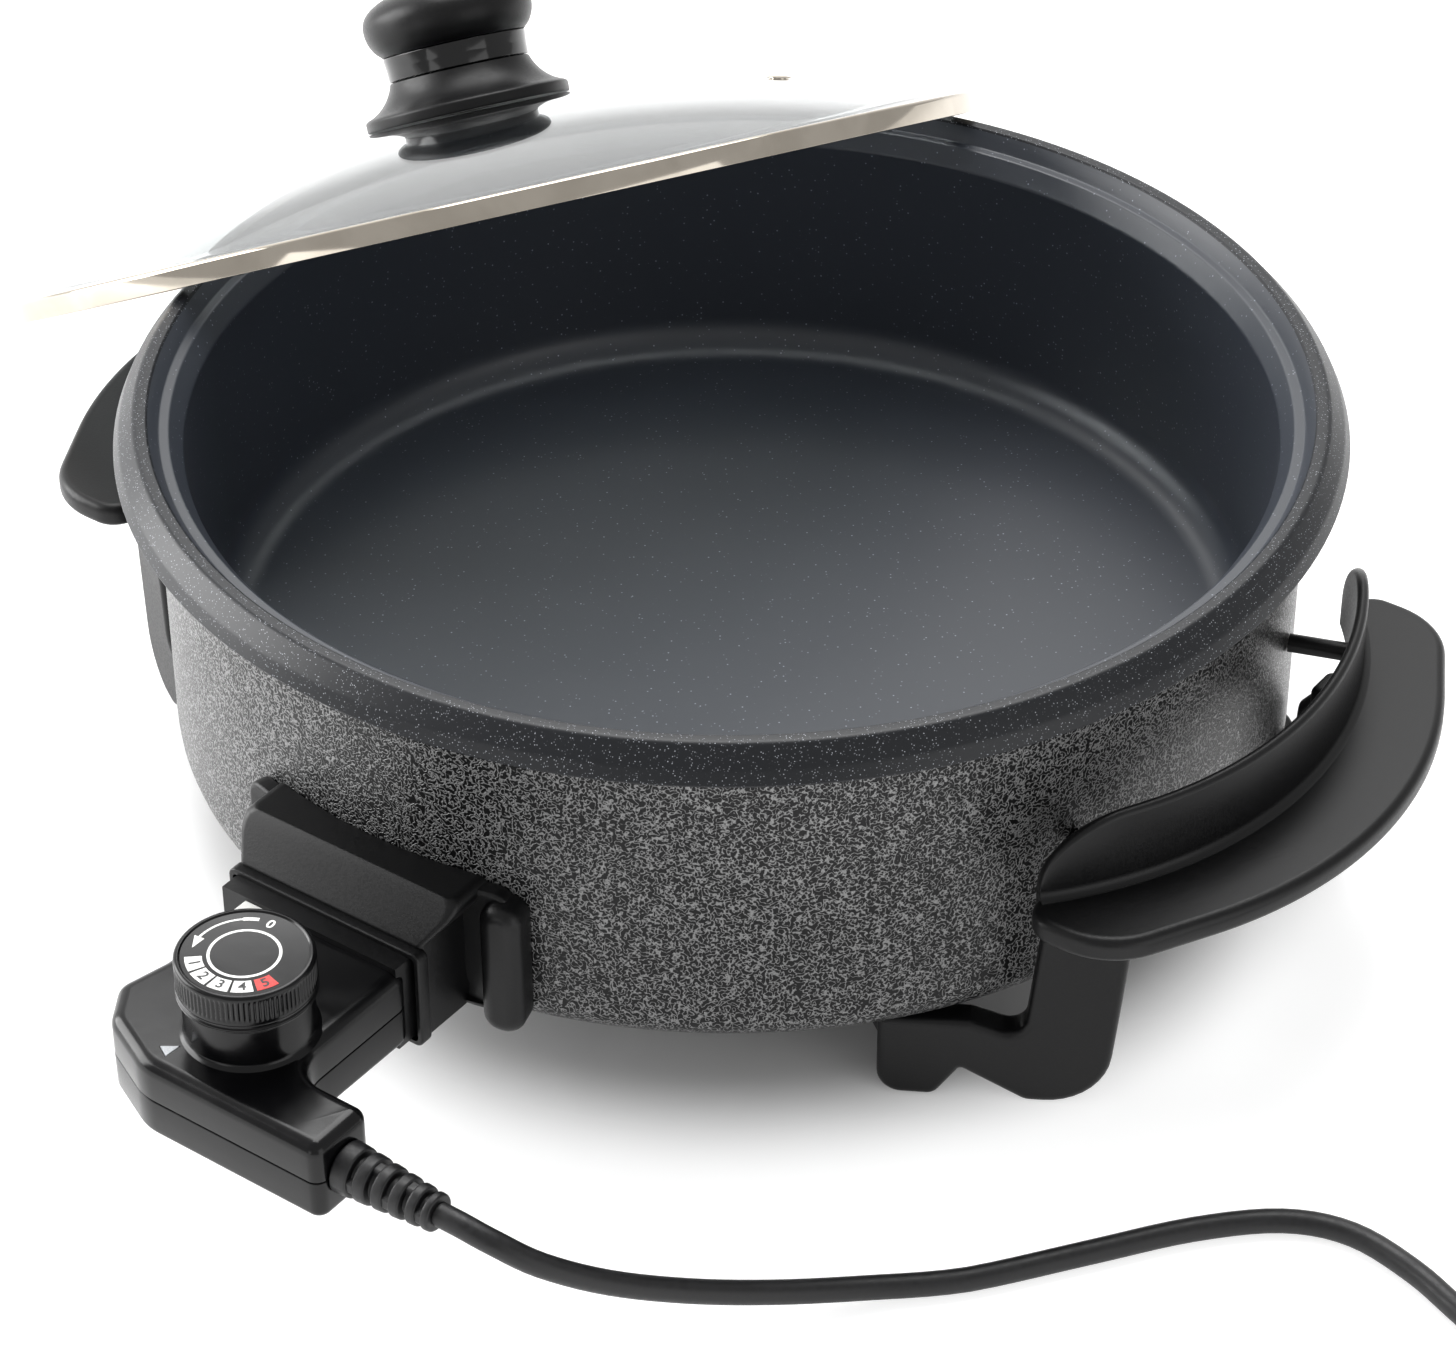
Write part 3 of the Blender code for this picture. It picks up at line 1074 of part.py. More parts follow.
def thermostat_case(frame):
    """Upper and lower halves of the thermostat, hollow, split at mid height."""
    half = CASE_HEIGHT / 2.0
    floor = half - CASE_WALL
    outline = case_outline()
    inner = case_outline(CASE_WALL)
    upper = slab("housing_upper", outline, -half, half, frame)
    upper = round_edges(upper, CASE_EDGE, 1)
    collar = rounded([(0.0, half + COLLAR_HEIGHT), (COLLAR_RADIUS, half + COLLAR_HEIGHT),
                      (COLLAR_RADIUS, half + CASE_EDGE), (COLLAR_RADIUS + CASE_EDGE, half - GAP),
                      (COLLAR_RADIUS + CASE_EDGE, 0.0), (0.0, 0.0)],
                     [0.0, 0.0, CASE_EDGE, 0.0, 0.0, 0.0], 2, closed=False)
    boss = turned("collar", collar, frame, DIAL_STEPS)
    boss.location = (DIAL_X, DIAL_Y, 0.0)
    upper = join(upper, boss)
    lower = slab("housing_lower", outline, -half, half, frame)
    lower = round_edges(lower, CASE_EDGE, 1)
    far = CASE_DEPTH * 2.0
    upper = cut(upper, box("split", (-far, -far, -far), (far, far, GAP / 2.0), frame),
                slab("hollow", inner, -half, floor, frame),
                place(disc("bore", SPINDLE_RADIUS + RUN, 0.0, far, frame), DIAL_X, DIAL_Y),
                lens_block("pocket", GAP, frame), mark_block("pocket", GAP, frame))
    lower = cut(lower, box("split", (-far, -far, -GAP / 2.0), (far, far, far), frame),
                slab("hollow", inner, -floor, half, frame))
    for x in TERMINALS:
        lower = cut(lower, rod("hole", TERMINAL_RADIUS + RUN, (x, NOSE_FACE - CASE_WALL * 2.0, PIN_DROP),
                               (0.0, 1.0, 0.0), CASE_WALL * 4.0, frame))
    lower = cut(lower, rod("hole", PROBE_RADIUS + GAP, (0.0, NOSE_FACE - CASE_WALL * 2.0, PIN_DROP),
                           (0.0, 1.0, 0.0), CASE_WALL * 4.0, frame))
    seat = -half + RUN + SCREW_HEAD_HEIGHT + GAP
    post = SCREW_HEAD_RADIUS + GAP * 4.0
    for x, y in case_screw_places():
        lower = join(lower, place(disc("post", post, -floor - GAP, -GAP / 2.0, frame, 12), x, y))
        upper = join(upper, place(disc("post", post, GAP / 2.0, floor + GAP, frame, 12), x, y))
        upper = cut(upper, place(disc("hole", SCREW_RADIUS + GAP, -far, floor, frame, SCREW_STEPS), x, y))
        lower = cut(lower, place(disc("hole", SCREW_RADIUS + GAP, -far, far, frame, SCREW_STEPS), x, y),
                    place(disc("sink", SCREW_HEAD_RADIUS + GAP, -far, seat, frame, SCREW_STEPS), x, y))
    smooth(dress(upper, GLOSS, 0.2))
    smooth(dress(lower, GLOSS, 0.2))


def place(obj, x, y):
    obj.location.x += x
    obj.location.y += y
    return obj


def lens_block(name, grow, frame):
    """The pilot lamp's window, or with grow its pocket."""
    half = CASE_HEIGHT / 2.0
    w = LENS_WIDTH / 2.0 + grow
    d = LENS_LENGTH / 2.0 + grow
    corner = CASE_EDGE + grow
    outline = rounded([(LENS_X - w, LENS_Y - d), (LENS_X + w, LENS_Y - d), (LENS_X + w, LENS_Y + d),
                       (LENS_X - w, LENS_Y + d)], [corner] * 4)
    top = half + (OVERRUN if grow > 0.0 else RUN)
    return slab(name, outline, half - LENS_DEPTH - grow, top, frame)


def mark_direction():
    """Unit vector from the pointer mark to the dial's middle, along which the mark points."""
    return Vector((0.49, 0.87)).normalized()


def mark_block(name, grow, frame):
    """The pointer mark beside the dial, or with grow its pocket."""
    half = CASE_HEIGHT / 2.0
    aim = mark_direction()
    across = Vector((-aim.y, aim.x))
    tip = Vector((DIAL_X, DIAL_Y)) - aim * (COLLAR_RADIUS + CASE_EDGE + MARK_GAP - MARK_LENGTH / 2.0)
    width = MARK_WIDTH / 2.0 + grow
    foot = tip - aim * (MARK_LENGTH * 0.7 + grow)
    outline = [tuple(tip + aim * grow * 2.0), tuple(foot + across * width), tuple(foot - across * width)]
    top = half + (OVERRUN if grow > 0.0 else GAP)
    return slab(name, outline, half - MARK_DEPTH - grow, top, frame)


def case_screw_places():
    return [(NOSE_HALF_WIDTH * 0.1, -CASE_DEPTH * 0.30), (ARM_REACH * 0.80, -CASE_DEPTH + ARM_WIDTH * 0.78)]


def thermostat_inside(frame):
    """What the case holds: lamp, contact carrier and sleeves, probe, switch, leads and screws."""
    half = CASE_HEIGHT / 2.0
    floor = half - CASE_WALL
    dress(lens_block("pilot_lens", 0.0, frame), WHITE, 0.3)
    dress(mark_block("pointer_mark", 0.0, frame), WHITE, 0.5)
    front = NOSE_FACE - CASE_WALL - GAP
    carrier_low = -floor + GAP
    carrier = box("contact_carrier", (-CARRIER_HALF_WIDTH, front - CARRIER_DEPTH, carrier_low),
                  (CARRIER_HALF_WIDTH, front, PIN_DROP + CARRIER_COVER), frame)
    sleeve = TERMINAL_RADIUS + GAP + SLEEVE_WALL
    back = (0.0, -1.0, 0.0)
    reach = CARRIER_DEPTH + OVERRUN * 2.0
    for x, radius in ((TERMINALS[0], sleeve), (0.0, PROBE_RADIUS), (TERMINALS[1], sleeve)):
        carrier = cut(carrier, rod("hole", radius + GAP, (x, front + OVERRUN, PIN_DROP), back, reach, frame))
    smooth(dress(carrier, CERAMIC, 0.6))
    for side, x in zip(("left", "right"), TERMINALS):
        piece = rod("contact_sleeve_" + side, sleeve, (x, front - GAP, PIN_DROP), back, SLEEVE_LENGTH, frame,
                    bore=TERMINAL_RADIUS + GAP)
        smooth(dress(piece, BRASS, 0.3, 1.0))
    probe_far = PROBE_TUBE_LENGTH - PROBE_TUBE_WALL * 2.0 - PROBE_END_GAP
    tip_y = MOUTH_REACH - SOCKET_BACK + HOOD_BACK_WALL / 2.0 + probe_far
    root_y = front - CARRIER_DEPTH - GAP
    probe = rod("probe_rod", PROBE_RADIUS, (0.0, root_y, PIN_DROP), (0.0, 1.0, 0.0), tip_y - root_y, frame,
                edge=RUN)
    smooth(dress(probe, STEEL, 0.25, 1.0))
    switch_top = PIN_DROP + CARRIER_COVER
    seat_y = DIAL_Y - SWITCH_LENGTH / 2.0
    base = box("switch_base", (DIAL_X - SWITCH_WIDTH / 2.0, seat_y, carrier_low),
               (DIAL_X + SWITCH_WIDTH / 2.0, seat_y + SWITCH_LENGTH, switch_top), frame)
    dress(round_edges(base, RUN, 1), CREAM, 0.6)
    blade_low = switch_top + GAP
    blade_end = front - CARRIER_DEPTH + OVERRUN
    blade = box("switch_blade", (DIAL_X - BLADE_WIDTH / 2.0, seat_y, blade_low),
                (DIAL_X + BLADE_WIDTH / 2.0, blade_end, blade_low + BLADE_THICKNESS), frame)
    dress(blade, BRASS, 0.3, 1.0)
    lamp_height = half - LENS_DEPTH - LAMP_RADIUS - GAP
    lamp = rod("pilot_lamp", LAMP_RADIUS, (LENS_X, LENS_Y - LAMP_LENGTH / 2.0, lamp_height),
               (0.0, 1.0, 0.0), LAMP_LENGTH, frame, 12)
    smooth(dress(lamp, GLASS, 0.1))
    sleeve_end = front - GAP * 2.0 - SLEEVE_LENGTH
    for name, x, body, arm in (("lead_live", TERMINALS[1], LIVE_BODY_SHARES, LIVE_ARM_SHARES),
                               ("lead_neutral", TERMINALS[0], NEUTRAL_BODY_SHARES, NEUTRAL_ARM_SHARES)):
        turns = [(across * NOSE_HALF_WIDTH, -deep * CASE_DEPTH, PIN_DROP) for across, deep in body]
        turns += [(across * ARM_REACH, -deep * CASE_DEPTH, PIN_DROP) for across, deep in arm]
        line = curve_through([(x, sleeve_end, PIN_DROP)] + turns, LEAD_STEP)
        smooth(dress(tube(name, line, LEAD_RADIUS, 1, frame), BRASS, 0.5), 65.0)
    for end, (x, y) in zip(("nose", "arm"), case_screw_places()):
        length = CASE_HEIGHT - CASE_WALL - RUN * 3.0
        screw("case_screw_" + end, (x, y, -half + RUN), (0.0, 0.0, 1.0), length, frame)


def dial(frame):
    """Dial and its spindle, on their own empty at the dial's axis."""
    axis = bpy.data.objects.new("dial_frame", None)
    PARTS.objects.link(axis)
    axis.parent = frame
    axis.location = (DIAL_X, DIAL_Y, 0.0)
    low = DIAL_BASE
    top = low + DIAL_HEIGHT
    bore = SPINDLE_RADIUS + GAP
    hole_top = low + SPINDLE_ENGAGE + GAP
    profile = rounded([(0.0, top), (DIAL_RADIUS, top), (DIAL_RADIUS, low), (bore, low), (bore, hole_top),
                       (0.0, hole_top)], [0.0, DIAL_EDGE, 0.0, 0.0, 0.0, 0.0], 2, closed=False)
    smooth(dress(turned("dial", profile, axis, DIAL_STEPS), GLOSS, 0.2))
    foot = SPINDLE_FOOT
    spindle = disc("dial_spindle", SPINDLE_RADIUS, foot, low + SPINDLE_ENGAGE, axis)
    smooth(dress(spindle, STEEL, 0.35, 1.0))


def curve_through(points, step):
    """Points about a step apart on a smooth curve through the given ones, with straight ends."""
    places = [Vector(p) for p in points]
    ends = [places[0] * 2.0 - places[1]] + places + [places[-1] * 2.0 - places[-2]]
    line = [places[0]]
    for a, b, c, d in zip(ends, ends[1:], ends[2:], ends[3:]):
        count = max(1, round((c - b).length / step))
        for k in range(1, count + 1):
            t = k / count
            line.append(0.5 * (b * 2.0 + (c - a) * t + (a * 2.0 - b * 5.0 + c * 4.0 - d) * t ** 2
                               + (b * 3.0 - a - c * 3.0 + d) * t ** 3))
    return [tuple(p) for p in line]


def boot_start():
    """Where the boot meets the thermostat's arm."""
    return Vector((ARM_REACH + GAP, -MOUTH_REACH - CASE_DEPTH + ARM_WIDTH / 2.0, SOCKET_HEIGHT))


def strain_relief():
    """Tapered, ribbed rubber boot on the thermostat's arm."""
    rib = BOOT_LENGTH / BOOT_RIBS
    profile = [(0.0, BOOT_LENGTH)]
    for k in range(BOOT_RIBS, 0, -1):
        share = (k - 0.5) / BOOT_RIBS
        radius = BOOT_ROOT_RADIUS + (BOOT_TIP_RADIUS - BOOT_ROOT_RADIUS) * share
        high = rib * k
        profile += [(radius, high), (radius, high - rib * 0.62)]
        if k > 1:
            profile += [(radius - BOOT_GROOVE, high - rib * 0.72), (radius - BOOT_GROOVE, high - rib * 0.94)]
    profile += [(BOOT_ROOT_RADIUS, 0.0), (0.0, 0.0)]
    boot = turned("strain_relief", profile, None, SMALL_STEPS)
    return smooth(dress(along(boot, boot_start(), (1.0, 0.0, 0.0)), RUBBER, 0.6))


def cord_places():
    """The free cord's route from the boot's tip, in the pan's frame."""
    tip = boot_start() + Vector((BOOT_LENGTH + GAP, 0.0, 0.0))
    places = [tuple(tip)]
    for across, forth, share in CORD_ROUTE:
        places.append((tip.x + across, tip.y + forth, CORD_REST + (tip.z - CORD_REST) * share))
    return places


def coil_points():
    """Centre line of the coil: in on the table, up a layer, out again, with straight ends."""
    before, start = (Vector(p) for p in cord_places()[-2:])
    heading = (start - before).normalized()
    turns = COIL_TURNS
    wide = COIL_MID_RADIUS + COIL_SPACING * turns / 4.0
    lead = heading * (CORD_RADIUS * 2.0)
    begin = start + heading * GAP
    entry = begin + lead
    left = Vector((-heading.y, heading.x, 0.0))
    centre = entry + left * wide
    phase = math.atan2(-left.y, -left.x)
    count = round(COIL_POINTS_PER_TURN * turns)
    line = [begin]
    for k in range(count + 1):
        turn = turns * k / count
        radius = wide - COIL_SPACING * min(turn, turns - turn)
        climb = min(1.0, max(0.0, (turn - turns / 2.0 + 0.25) / 0.5))
        height = start.z + COIL_SPACING * climb * climb * (3.0 - 2.0 * climb)
        angle = phase + 2.0 * math.pi * turn
        line.append(centre + Vector((radius * math.cos(angle), radius * math.sin(angle), height - centre.z)))
    out = (line[-1] - line[-2])
    out.z = 0.0
    out.normalize()
    line.append(line[-1] + out * CORD_RADIUS * 4.0)
    rise = PLUG_HEIGHT - line[-1].z
    line.append(line[-1] + out * CORD_RADIUS * 5.0 + Vector((0.0, 0.0, rise)))
    line.append(line[-1] + out * CORD_RADIUS * 2.0)
    return line, out


def least_gap(line, radius, skip):
    """Least gap between the tube and itself, over points more than skip places apart."""
    fine = []
    for a, b in zip(line, line[1:]):
        fine += [a + (b - a) * (k / 4.0) for k in range(4)]
    least = 1.0
    for i in range(len(fine)):
        for j in range(i + skip * 4, len(fine)):
            least = min(least, (fine[i] - fine[j]).length)
    return least - 2.0 * radius


def cord():
    """Free cord over the table, the coil that puts the rest away, and the mains plug."""
    places = cord_places()
    route = places[:1] + curve_through(places[1:-1], CORD_STEP) + places[-1:]
    smooth(dress(tube("cord_run", route, CORD_RADIUS, 2), RUBBER, 0.6))
    line, out = coil_points()
    gap = least_gap(line, CORD_RADIUS, COIL_POINTS_PER_TURN // 2)
    print("cord coil: least gap to itself %.2f mm" % (gap / MM))
    run = sum((Vector(b) - Vector(a)).length for a, b in zip(route, route[1:]))
    wound = sum((b - a).length for a, b in zip(line, line[1:]))
    print("cord length %.3f m, of which %.3f m in the coil" % (run + wound, wound))
    smooth(dress(tube("cord_coil", [tuple(p) for p in line], CORD_RADIUS, 1), RUBBER, 0.6))
    return mains_plug(line[-1] + out * GAP, out)


def mains_plug(start, out):
    """Round earthed plug with two pins, lying beside the coil."""
    face = PLUG_LENGTH
    head = [(0.0, face), (PLUG_FACE_RADIUS, face), (PLUG_FACE_RADIUS, face - PLUG_FACE_LENGTH)]
    grip = [(PLUG_GRIP_RADIUS, face - PLUG_FACE_LENGTH * 1.4), (PLUG_GRIP_RADIUS * 0.86, face * 0.36)]
    neck = [(PLUG_NECK_RADIUS, face / 6.0), (PLUG_NECK_RADIUS * 0.85, 0.0), (0.0, 0.0)]
    profile = rounded(head + grip + neck, [0.0, RUN * 3.0, 0.0, 0.0, OVERRUN * 2.0, 0.0, 0.0, 0.0], 2,
                      closed=False)
    body = along(turned("plug_body", profile, None, 24), start, out)
    across = Vector((-out.y, out.x, 0.0))
    smooth(dress(body, RUBBER, 0.5))
    for name, side in (("plug_pin_left", 1.0), ("plug_pin_right", -1.0)):
        foot = start + out * (PLUG_LENGTH + GAP) + across * side * PLUG_PIN_SPACING / 2.0
        pin = rod(name, PLUG_PIN_RADIUS, foot, out, PLUG_PIN_LENGTH, None, SCREW_STEPS, edge=RUN)
        smooth(dress(pin, STEEL, 0.2, 1.0))


CORD_PIECES = ("strain_relief", "cord_run", "cord_coil", "plug_body", "plug_pin_left", "plug_pin_right")


def centre_part():
    """Move the whole part so that the middle of its footprint, without the cord, is the origin."""
    bpy.context.view_layer.update()
    graph = bpy.context.evaluated_depsgraph_get()
    low = Vector((1.0, 1.0, 1.0))
    high = -low
    for obj in PARTS.objects:
        if obj.type != "MESH" or obj.name in CORD_PIECES:
            continue
        mesh = obj.evaluated_get(graph).data
        for vertex in mesh.vertices:
            spot = obj.matrix_world @ vertex.co
            low = Vector(map(min, low, spot))
            high = Vector(map(max, high, spot))
    shift = Vector((-(low.x + high.x) / 2.0, -(low.y + high.y) / 2.0, 0.0))
    root = bpy.data.objects.new("cooker_frame", None)
    PARTS.objects.link(root)
    for obj in PARTS.objects:
        if obj.parent is None and obj is not root:
            obj.parent = root
    root.location = shift
    print("pan axis at x %.6f, y %.6f" % (shift.x, shift.y))
    print("footprint %.1f by %.1f by %.1f mm" % tuple((high[i] - low[i]) / MM for i in range(3)))


clear_scene()
PARTS = new_collection("electric_frying_pan")
inner_pan()
outer_shell()
heating_element()
terminal_pins()
probe_tube()
clamp_plate()
centre_fastening()
grips()
grip_screws()
socket_guard()
terminal_block()
LID = lid_frame()
lid_glass(LID)
lid_ring(LID)
vent_eyelet(LID)
knob(LID)
THERMOSTAT = thermostat_frame()
thermostat_case(THERMOSTAT)
thermostat_inside(THERMOSTAT)
dial(THERMOSTAT)
strain_relief()
cord()
centre_part()
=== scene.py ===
"""Looks of an electric frying pan with a loose glass lid and a plug-in thermostat.

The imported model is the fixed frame. Each class builds the fine surfaces of one sub-assembly round it, in metres on
the pan's own axis with Z up, and show() moves them to the frame's origin. Surfaces are worked out with numpy from
profiles, outlines and paths, and finishes in nodes from object coordinates. A corner is a row of x, y and radius.
"""
import logging
import math
from dataclasses import dataclass, field
from enum import Enum
from typing import Callable, ClassVar, Optional, Sequence

import bmesh
import bpy
import numpy as np
from mathutils import Matrix, Vector


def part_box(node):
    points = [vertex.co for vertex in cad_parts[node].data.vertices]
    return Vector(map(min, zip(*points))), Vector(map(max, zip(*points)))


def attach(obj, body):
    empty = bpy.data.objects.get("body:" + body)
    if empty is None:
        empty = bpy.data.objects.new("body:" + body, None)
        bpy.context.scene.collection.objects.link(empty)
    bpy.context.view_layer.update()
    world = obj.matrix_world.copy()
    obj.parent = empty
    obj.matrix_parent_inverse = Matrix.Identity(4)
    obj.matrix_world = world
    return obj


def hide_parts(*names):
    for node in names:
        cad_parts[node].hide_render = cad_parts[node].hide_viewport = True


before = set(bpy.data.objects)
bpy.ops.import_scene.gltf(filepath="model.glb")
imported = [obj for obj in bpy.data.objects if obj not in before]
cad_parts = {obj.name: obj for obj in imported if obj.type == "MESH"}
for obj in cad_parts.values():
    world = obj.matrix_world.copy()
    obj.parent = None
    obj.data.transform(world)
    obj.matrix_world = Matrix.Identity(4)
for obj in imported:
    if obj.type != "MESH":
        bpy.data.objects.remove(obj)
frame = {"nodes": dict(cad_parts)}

log = logging.getLogger("frying_pan")
logging.basicConfig(level=logging.INFO, format="%(name)s: %(message)s")

Array = np.ndarray
Pair = tuple[float, float]
Triple = tuple[float, float, float]
MM = 0.001
ROUND = 192
TINY = 1e-9
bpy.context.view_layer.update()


def pan_axis() -> Array:
    """The pan's axis on the table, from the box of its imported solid."""
    low, high = (np.array(corner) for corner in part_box("inner_pan"))
    return np.array([(low[0] + high[0]) / 2, (low[1] + high[1]) / 2, 0.0])


AXIS = pan_axis()


# ---- finishes


FLECK_EDGE = (0.34, 0.16)  # a fleck starts and is full at these distances from its middle, in grains
DRAWN_OUT = 0.04  # share of the grain's fineness that is left along a drawn piece
VEIN_DETAIL, CLOUD_DETAIL = 0.4, 3.0


def linear(colour: str) -> tuple[float, float, float, float]:
    """Turn an sRGB hex colour to linear values.

    Args:
        colour: Six hex digits after a hash.

    Returns:
        Red, green, blue and an alpha of one.
    """
    parts = [int(colour[i:i + 2], 16) / 255 for i in (1, 3, 5)]
    r, g, b = (c / 12.92 if c <= 0.04045 else ((c + 0.055) / 1.055) ** 2.4 for c in parts)
    return r, g, b, 1.0


def add_node(tree: bpy.types.NodeTree, kind: str, inputs: Optional[dict] = None, **settings) -> bpy.types.Node:
    """Add one node with its settings, values and links.

    Args:
        tree: The material's node tree.
        kind: The node's type, without the words Shader and Node.
        inputs: A value or an output socket for each named or numbered input.
        settings: Attributes of the node itself.

    Returns:
        The new node.
    """
    node = tree.nodes.new("ShaderNode" + kind)
    for name, value in settings.items():
        setattr(node, name, value)
    for key, value in (inputs or {}).items():
        if isinstance(value, bpy.types.NodeSocket):
            tree.links.new(value, node.inputs[key])
        else:
            node.inputs[key].default_value = value
    return node


class Pattern(Enum):
    """How a surface's detail is laid out."""

    VEINED = "ridged noise: thin worm-like veins on a darker ground"
    FLECKED = "sparse bright grains in a dark coat"
    MOULDED = "soft cloudy variation of a moulded surface"
    DRAWN = "streaks along the piece's height"


@dataclass(frozen=True)
class Finish:
    """One finish of a real material, worked out in nodes.

    The grain and the relief, which is the depth of the bump, are in millimetres. Edges are the pattern's values
    between which the base goes over to the accent. The slot names a material slot; nothing here reads it.
    """

    name: str
    base: str
    accent: str
    rough: Pair
    grain: float
    relief: float
    slot: str = ""
    pattern: Pattern = Pattern.MOULDED
    metallic: float = 0.0
    ior: float = 1.5
    edges: Pair = (0.35, 0.65)
    coat: float = 0.0
    transmission: float = 0.0
    gloss: float = 0.5

    def _amount(self, tree: bpy.types.NodeTree) -> bpy.types.NodeSocket:
        """Share of the accent from 0 to 1 at each place.

        Args:
            tree: The material's node tree.

        Returns:
            The socket that carries the share.
        """
        place = add_node(tree, "TexCoord").outputs["Object"]
        scale = 1.0 / (self.grain * MM)
        height = scale * DRAWN_OUT if self.pattern is Pattern.DRAWN else scale
        grains = add_node(tree, "Mapping", {"Vector": place, "Scale": (scale, scale, height)}).outputs[0]
        first, last = self.edges
        if self.pattern is Pattern.FLECKED:
            cells = add_node(tree, "TexVoronoi", {"Vector": grains, "Scale": 1.0})
            near = add_node(tree, "MapRange", {"Value": cells.outputs["Distance"], "From Min": FLECK_EDGE[0],
                                               "From Max": FLECK_EDGE[1]})
            pick = add_node(tree, "SeparateColor", {"Color": cells.outputs["Color"]})
            rare = add_node(tree, "MapRange", {"Value": pick.outputs[0], "From Min": first, "From Max": last})
            return add_node(tree, "Math", {0: near.outputs[0], 1: rare.outputs[0]}, operation="MULTIPLY").outputs[0]
        veined = self.pattern is Pattern.VEINED
        value = add_node(tree, "TexNoise", {"Vector": grains, "Scale": 1.0, "Roughness": 0.55, "Distortion": 0.35,
                                            "Detail": VEIN_DETAIL if veined else CLOUD_DETAIL}).outputs["Fac"]
        if veined:
            wide = add_node(tree, "Math", {0: value, 1: 2.0, 2: -1.0}, operation="MULTIPLY_ADD")
            size = add_node(tree, "Math", {0: wide.outputs[0]}, operation="ABSOLUTE")
            value = add_node(tree, "Math", {0: 1.0, 1: size.outputs[0]}, operation="SUBTRACT").outputs[0]
        return add_node(tree, "MapRange", {"Value": value, "From Min": first, "From Max": last},
                        interpolation_type="SMOOTHSTEP").outputs[0]

    def material(self) -> bpy.types.Material:
        """Build the finish once and give the same material to every later piece.

        Returns:
            The material.
        """
        known = bpy.data.materials.get(self.name)
        if known is not None:
            return known
        made = bpy.data.materials.new(self.name)
        made.use_nodes = True
        tree = made.node_tree
        shader = tree.nodes["Principled BSDF"]
        amount = self._amount(tree)
        colour = add_node(tree, "Mix", {0: amount, 6: linear(self.base), 7: linear(self.accent)}, data_type="RGBA")
        rough = add_node(tree, "MapRange", {"Value": amount, "To Min": self.rough[0], "To Max": self.rough[1]})
        tree.links.new(colour.outputs[2], shader.inputs["Base Color"])
        tree.links.new(rough.outputs[0], shader.inputs["Roughness"])
        if self.relief > 0.0:
            bump = add_node(tree, "Bump", {"Height": amount, "Distance": self.relief * MM, "Strength": 1.0})
            tree.links.new(bump.outputs[0], shader.inputs["Normal"])
        for name, value in {"Metallic": self.metallic, "IOR": self.ior, "Specular IOR Level": self.gloss,
                            "Coat Weight": self.coat, "Coat Roughness": 0.08,
                            "Transmission Weight": self.transmission}.items():
            shader.inputs[name].default_value = value
        made.diffuse_color = linear(self.base)
        return made


def ink(shade: str, base: str, accent: str, slot: str = "white_moulding") -> Finish:
    """A pad-printing ink: satin and thin, whatever its shade."""
    return Finish(shade + "_pad_printing_ink", base, accent, (0.38, 0.50), 0.5, 0.004, slot)


# Hammertone stove enamel: soft silver-grey veins, under 2 mm apart, wind round near-black pits.
HAMMERED = Finish("hammertone_stove_enamel", "#060607", "#7e7e7e", (0.36, 0.28), 1.35, 0.16, "hammered_paint",
                  Pattern.VEINED, metallic=0.55, edges=(0.79, 0.99))
# Spatter-coated cast rim: bluish charcoal with aluminium grains, drawn at 0.6 mm as the real 0.3 mm would not show.
RIM_COAT = Finish("charcoal_rim_coat_with_aluminium_grains", "#121418", "#a3a6ad", (0.38, 0.30), 0.65, 0.015,
                  pattern=Pattern.FLECKED, edges=(0.62, 0.95), gloss=0.32)
# Sprayed non-stick: satin blue-grey slate with rare mica specks and the faint dimples of the spray.
NONSTICK = Finish("sprayed_slate_nonstick", "#2b2f36", "#868b95", (0.38, 0.30), 1.1, 0.012, "nonstick",
                  Pattern.FLECKED, edges=(0.92, 0.99))
# Compression-moulded phenolic: near-black and satin, a little greyer where it has flowed thin.
PHENOLIC = Finish("moulded_black_phenolic", "#060607", "#0b0b0c", (0.34, 0.42), 0.9, 0.008, "matt_phenolic",
                  gloss=0.27)
# Glossy moulded polycarbonate: black, smooth as its mould, with a faint waviness.
GLOSS_CASE = Finish("glossy_moulded_polycarbonate", "#040405", "#070708", (0.18, 0.24), 14.0, 0.012,
                    "gloss_moulding", ior=1.58, gloss=0.22)
# The knob's neck and the dial's beads: phenolic again, but polished.
GLOSS_NECK = Finish("polished_black_phenolic", "#050506", "#09090a", (0.10, 0.16), 10.0, 0.01, "gloss_moulding",
                    coat=0.1, gloss=0.4)
# Polished stainless strip: warm grey and nearly mirror-like, with a faint waviness from its forming.
POLISHED = Finish("polished_stainless_strip", "#bdb5a9", "#b1a99d", (0.07, 0.10), 30.0, 0.004, "polished_steel",
                  metallic=1.0)
# Bright-turned steel: screws, bolt, washers and probe, grey with a soft shine.
TURNED_STEEL = Finish("bright_turned_steel", "#b9b7b3", "#9c9a96", (0.22, 0.34), 0.5, 0.006, metallic=1.0)
# Nickel-plated brass: yellowish silver pins with streaks along them.
NICKEL = Finish("nickel_plated_brass_pins", "#c9c4b8", "#b3ad9f", (0.14, 0.24), 1.2, 0.004, pattern=Pattern.DRAWN,
                metallic=1.0)
# Heat-tinted stainless sheath of the heating element: dull grey going over to straw.
SHEATH = Finish("heat_tinted_element_sheath", "#6d6a64", "#8a7c66", (0.34, 0.46), 9.0, 0.01, metallic=0.9)
# Rolled aluminium-coated plate under the element: pale and satin.
REFLECTOR = Finish("rolled_aluminised_plate", "#b4b3b0", "#9b9a97", (0.26, 0.38), 4.0, 0.01, metallic=1.0)
# Bare stamped brass: yellow, a little tarnished.
BRASS = Finish("stamped_brass", "#c9a45a", "#a8833f", (0.24, 0.36), 2.0, 0.006, metallic=1.0)
